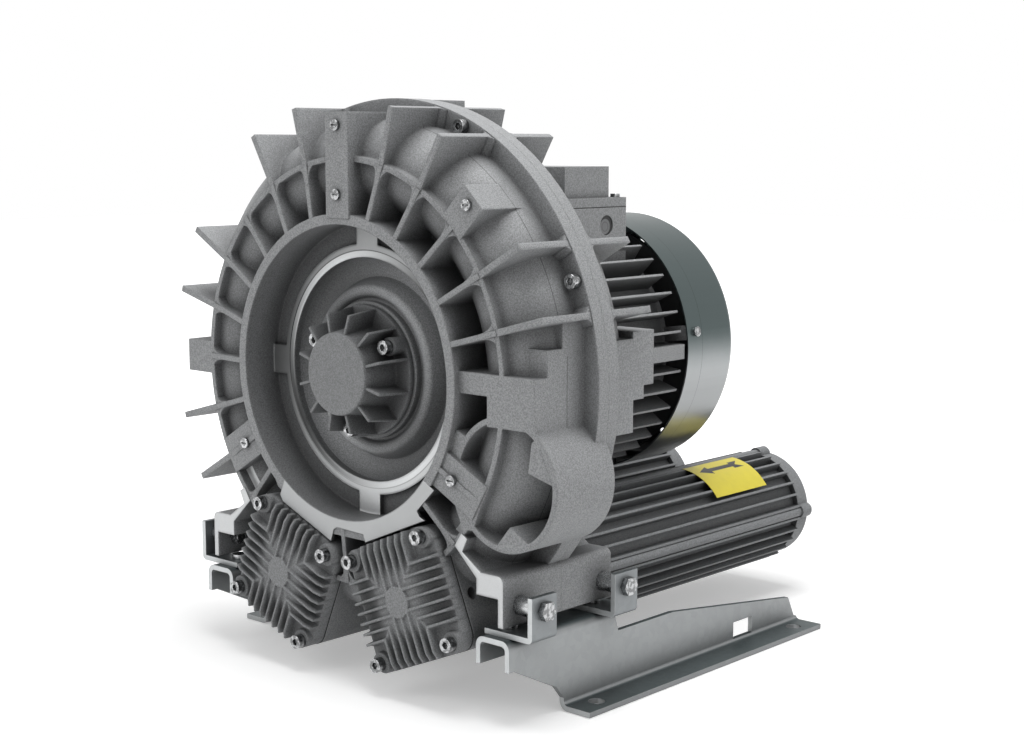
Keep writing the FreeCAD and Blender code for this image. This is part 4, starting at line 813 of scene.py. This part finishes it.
def makeCover(side, size):
    # a square grid drawn in to the rounded outline, lifted by the height above, walled and closed
    line = np.linspace(-size["half"], size["half"], size["cells"])
    u, v = np.meshgrid(line, line, indexing="ij")
    near = size["half"] - size["corner"]
    overU, overV = np.maximum(np.abs(u) - near, 0), np.maximum(np.abs(v) - near, 0)
    reach = np.hypot(overU, overV)
    limit = np.maximum(overU, overV)
    share = np.where(reach > 0, limit / np.maximum(reach, 1e-9), 1.0)
    u = np.sign(u) * (np.minimum(np.abs(u), near) + overU * share)
    v = np.sign(v) * (np.minimum(np.abs(v), near) + overV * share)
    front = size["plate"] - coverHeight(u, v, size)
    turn = math.radians(side * size["turn"])

    def hung(a, b, level):
        # the cover's own right and up, turned as it hangs
        right = side * size["middle"][0] + a * math.cos(turn) - b * math.sin(turn)
        return placed(right, level, size["middle"][1] + a * math.sin(turn) + b * math.cos(turn))

    count = size["cells"]
    grid = np.arange(count * count).reshape(count, count)
    loop = np.concatenate([grid[:-1, 0], grid[-1, :-1], grid[:0:-1, -1], grid[0, :0:-1]])
    top = hung(u, v, front).reshape(-1, 3)
    rim = hung(u.ravel()[loop], v.ravel()[loop], size["back"])
    quads = np.stack([grid[:-1, :-1], grid[1:, :-1], grid[1:, 1:], grid[:-1, 1:]], axis=-1).reshape(-1, 4)
    base = count * count + np.arange(len(loop))
    walls = np.stack([loop, base, np.roll(base, -1), np.roll(loop, -1)], axis=-1)
    faces = quads.tolist() + walls.tolist() + [base[::-1].tolist()]
    word = "right" if side > 0 else "left"
    mould = np.concatenate([top, rim]), faces
    cover = newPiece(f"cover_{word}", mould, finishes["coverPaint"], smooth=True)
    ends = np.empty(2 * len(cover.data.edges), dtype=np.int32)
    cover.data.edges.foreach_get("vertices", ends)
    backEdges = ends.reshape(-1, 2).min(axis=1) >= count * count
    cover.data.edges.foreach_set("use_edge_sharp", backEdges)
    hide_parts(f"port_cover_{word}")


for side in (1, -1):
    makeCover(side, portCover)
print("port covers made")

# camera at the photograph's viewing angle; back points from the object to it
camera = {
    "place": (1.1438, -1.2905, 0.4973),
    "back": (0.6662, -0.7340, 0.1319),
    "lens": 59.34,
    "sensor": 36.0,
}
cameraData = bpy.data.cameras.new("camera")
cameraData.lens = camera["lens"]
cameraData.sensor_width = camera["sensor"]
cameraObject = bpy.data.objects.new("camera", cameraData)
bpy.context.scene.collection.objects.link(cameraObject)
cameraObject.location = camera["place"]
cameraObject.rotation_euler = Vector(camera["back"]).to_track_quat("Z", "Y").to_euler()
bpy.context.scene.camera = cameraObject

# soft boxes: place, size and power; all point at the target
lampTarget = (0.0, -0.05, 0.25)
lamps = {
    "keyLight": ((-0.7, -2.1, 1.7), (1.6, 1.2), 11.0),
    "topLight": ((0.3, -0.1, 2.4), (1.4, 1.4), 45.0),
    "sideLight": ((2.4, -0.2, 1.3), (1.2, 1.6), 6.5),
}
for name, (place, size, power) in lamps.items():
    lamp = bpy.data.lights.new(name, "AREA")
    lamp.shape = "RECTANGLE"
    lamp.size, lamp.size_y = size
    lamp.energy = power
    lampObject = bpy.data.objects.new(name, lamp)
    bpy.context.scene.collection.objects.link(lampObject)
    lampObject.location = place
    lampObject.rotation_euler = (Vector(place) - Vector(lampTarget)).to_track_quat("Z", "Y").to_euler()

# pale floor and white world; the floor's own glow rises to white away from the object's shadow
stage = {
    "half": 9,
    "top": -0.0005,
    "tone": (0.80, 0.80, 0.80),
    "glow": (0.34, 0.70),
    "fade": (0.55, 1.5),
    "fill": 0.40,
}
corners = [(stage["half"] * right, stage["half"] * back, stage["top"])
           for right, back in ((-1, -1), (1, -1), (1, 1), (-1, 1))]
floorMesh = bpy.data.meshes.new("floor")
floorMesh.from_pydata(corners, [], [(0, 1, 2, 3)])
floor = bpy.data.objects.new("floor", floorMesh)
bpy.context.scene.collection.objects.link(floor)


def seenRays(graph):
    # 1 for what the camera, a reflection or a glass sees, 0 for light that falls on the object
    rays = [graph.add("ShaderNodeLightPath", {}, {}, f"Is {kind} Ray")
            for kind in ("Camera", "Glossy", "Transmission")]
    return rays[0].most(rays[1]).most(rays[2])


def paleFloor(size):
    finish = Finish("paleFloor")
    away = (finish.x * finish.x + finish.y * finish.y).root()
    least, rise = size["glow"]
    glow = least + rise * away.between(*size["fade"])
    finish.set(
        Base_Color=finish.tint(size["tone"], 0.99 + 0.02 * finish.noise(300.0, 2.0)),
        Roughness=0.9,
        Emission_Color=finish.tint((1, 1, 1), seenRays(finish) * glow),
        Emission_Strength=1.0,
    )
    return finish.material


floorMesh.materials.append(paleFloor(stage))

world = bpy.data.worlds.new("studio")
world.use_nodes = True
bpy.context.scene.world = world
seen = seenRays(Graph(world.node_tree))
background = world.node_tree.nodes["Background"]
background.inputs["Color"].default_value = (1, 1, 1, 1)
strength = stage["fill"] + (1.0 - stage["fill"]) * seen
world.node_tree.links.new(strength.socket, background.inputs["Strength"])
print("stage ready")

bpy.context.scene.view_settings.view_transform = "Standard"
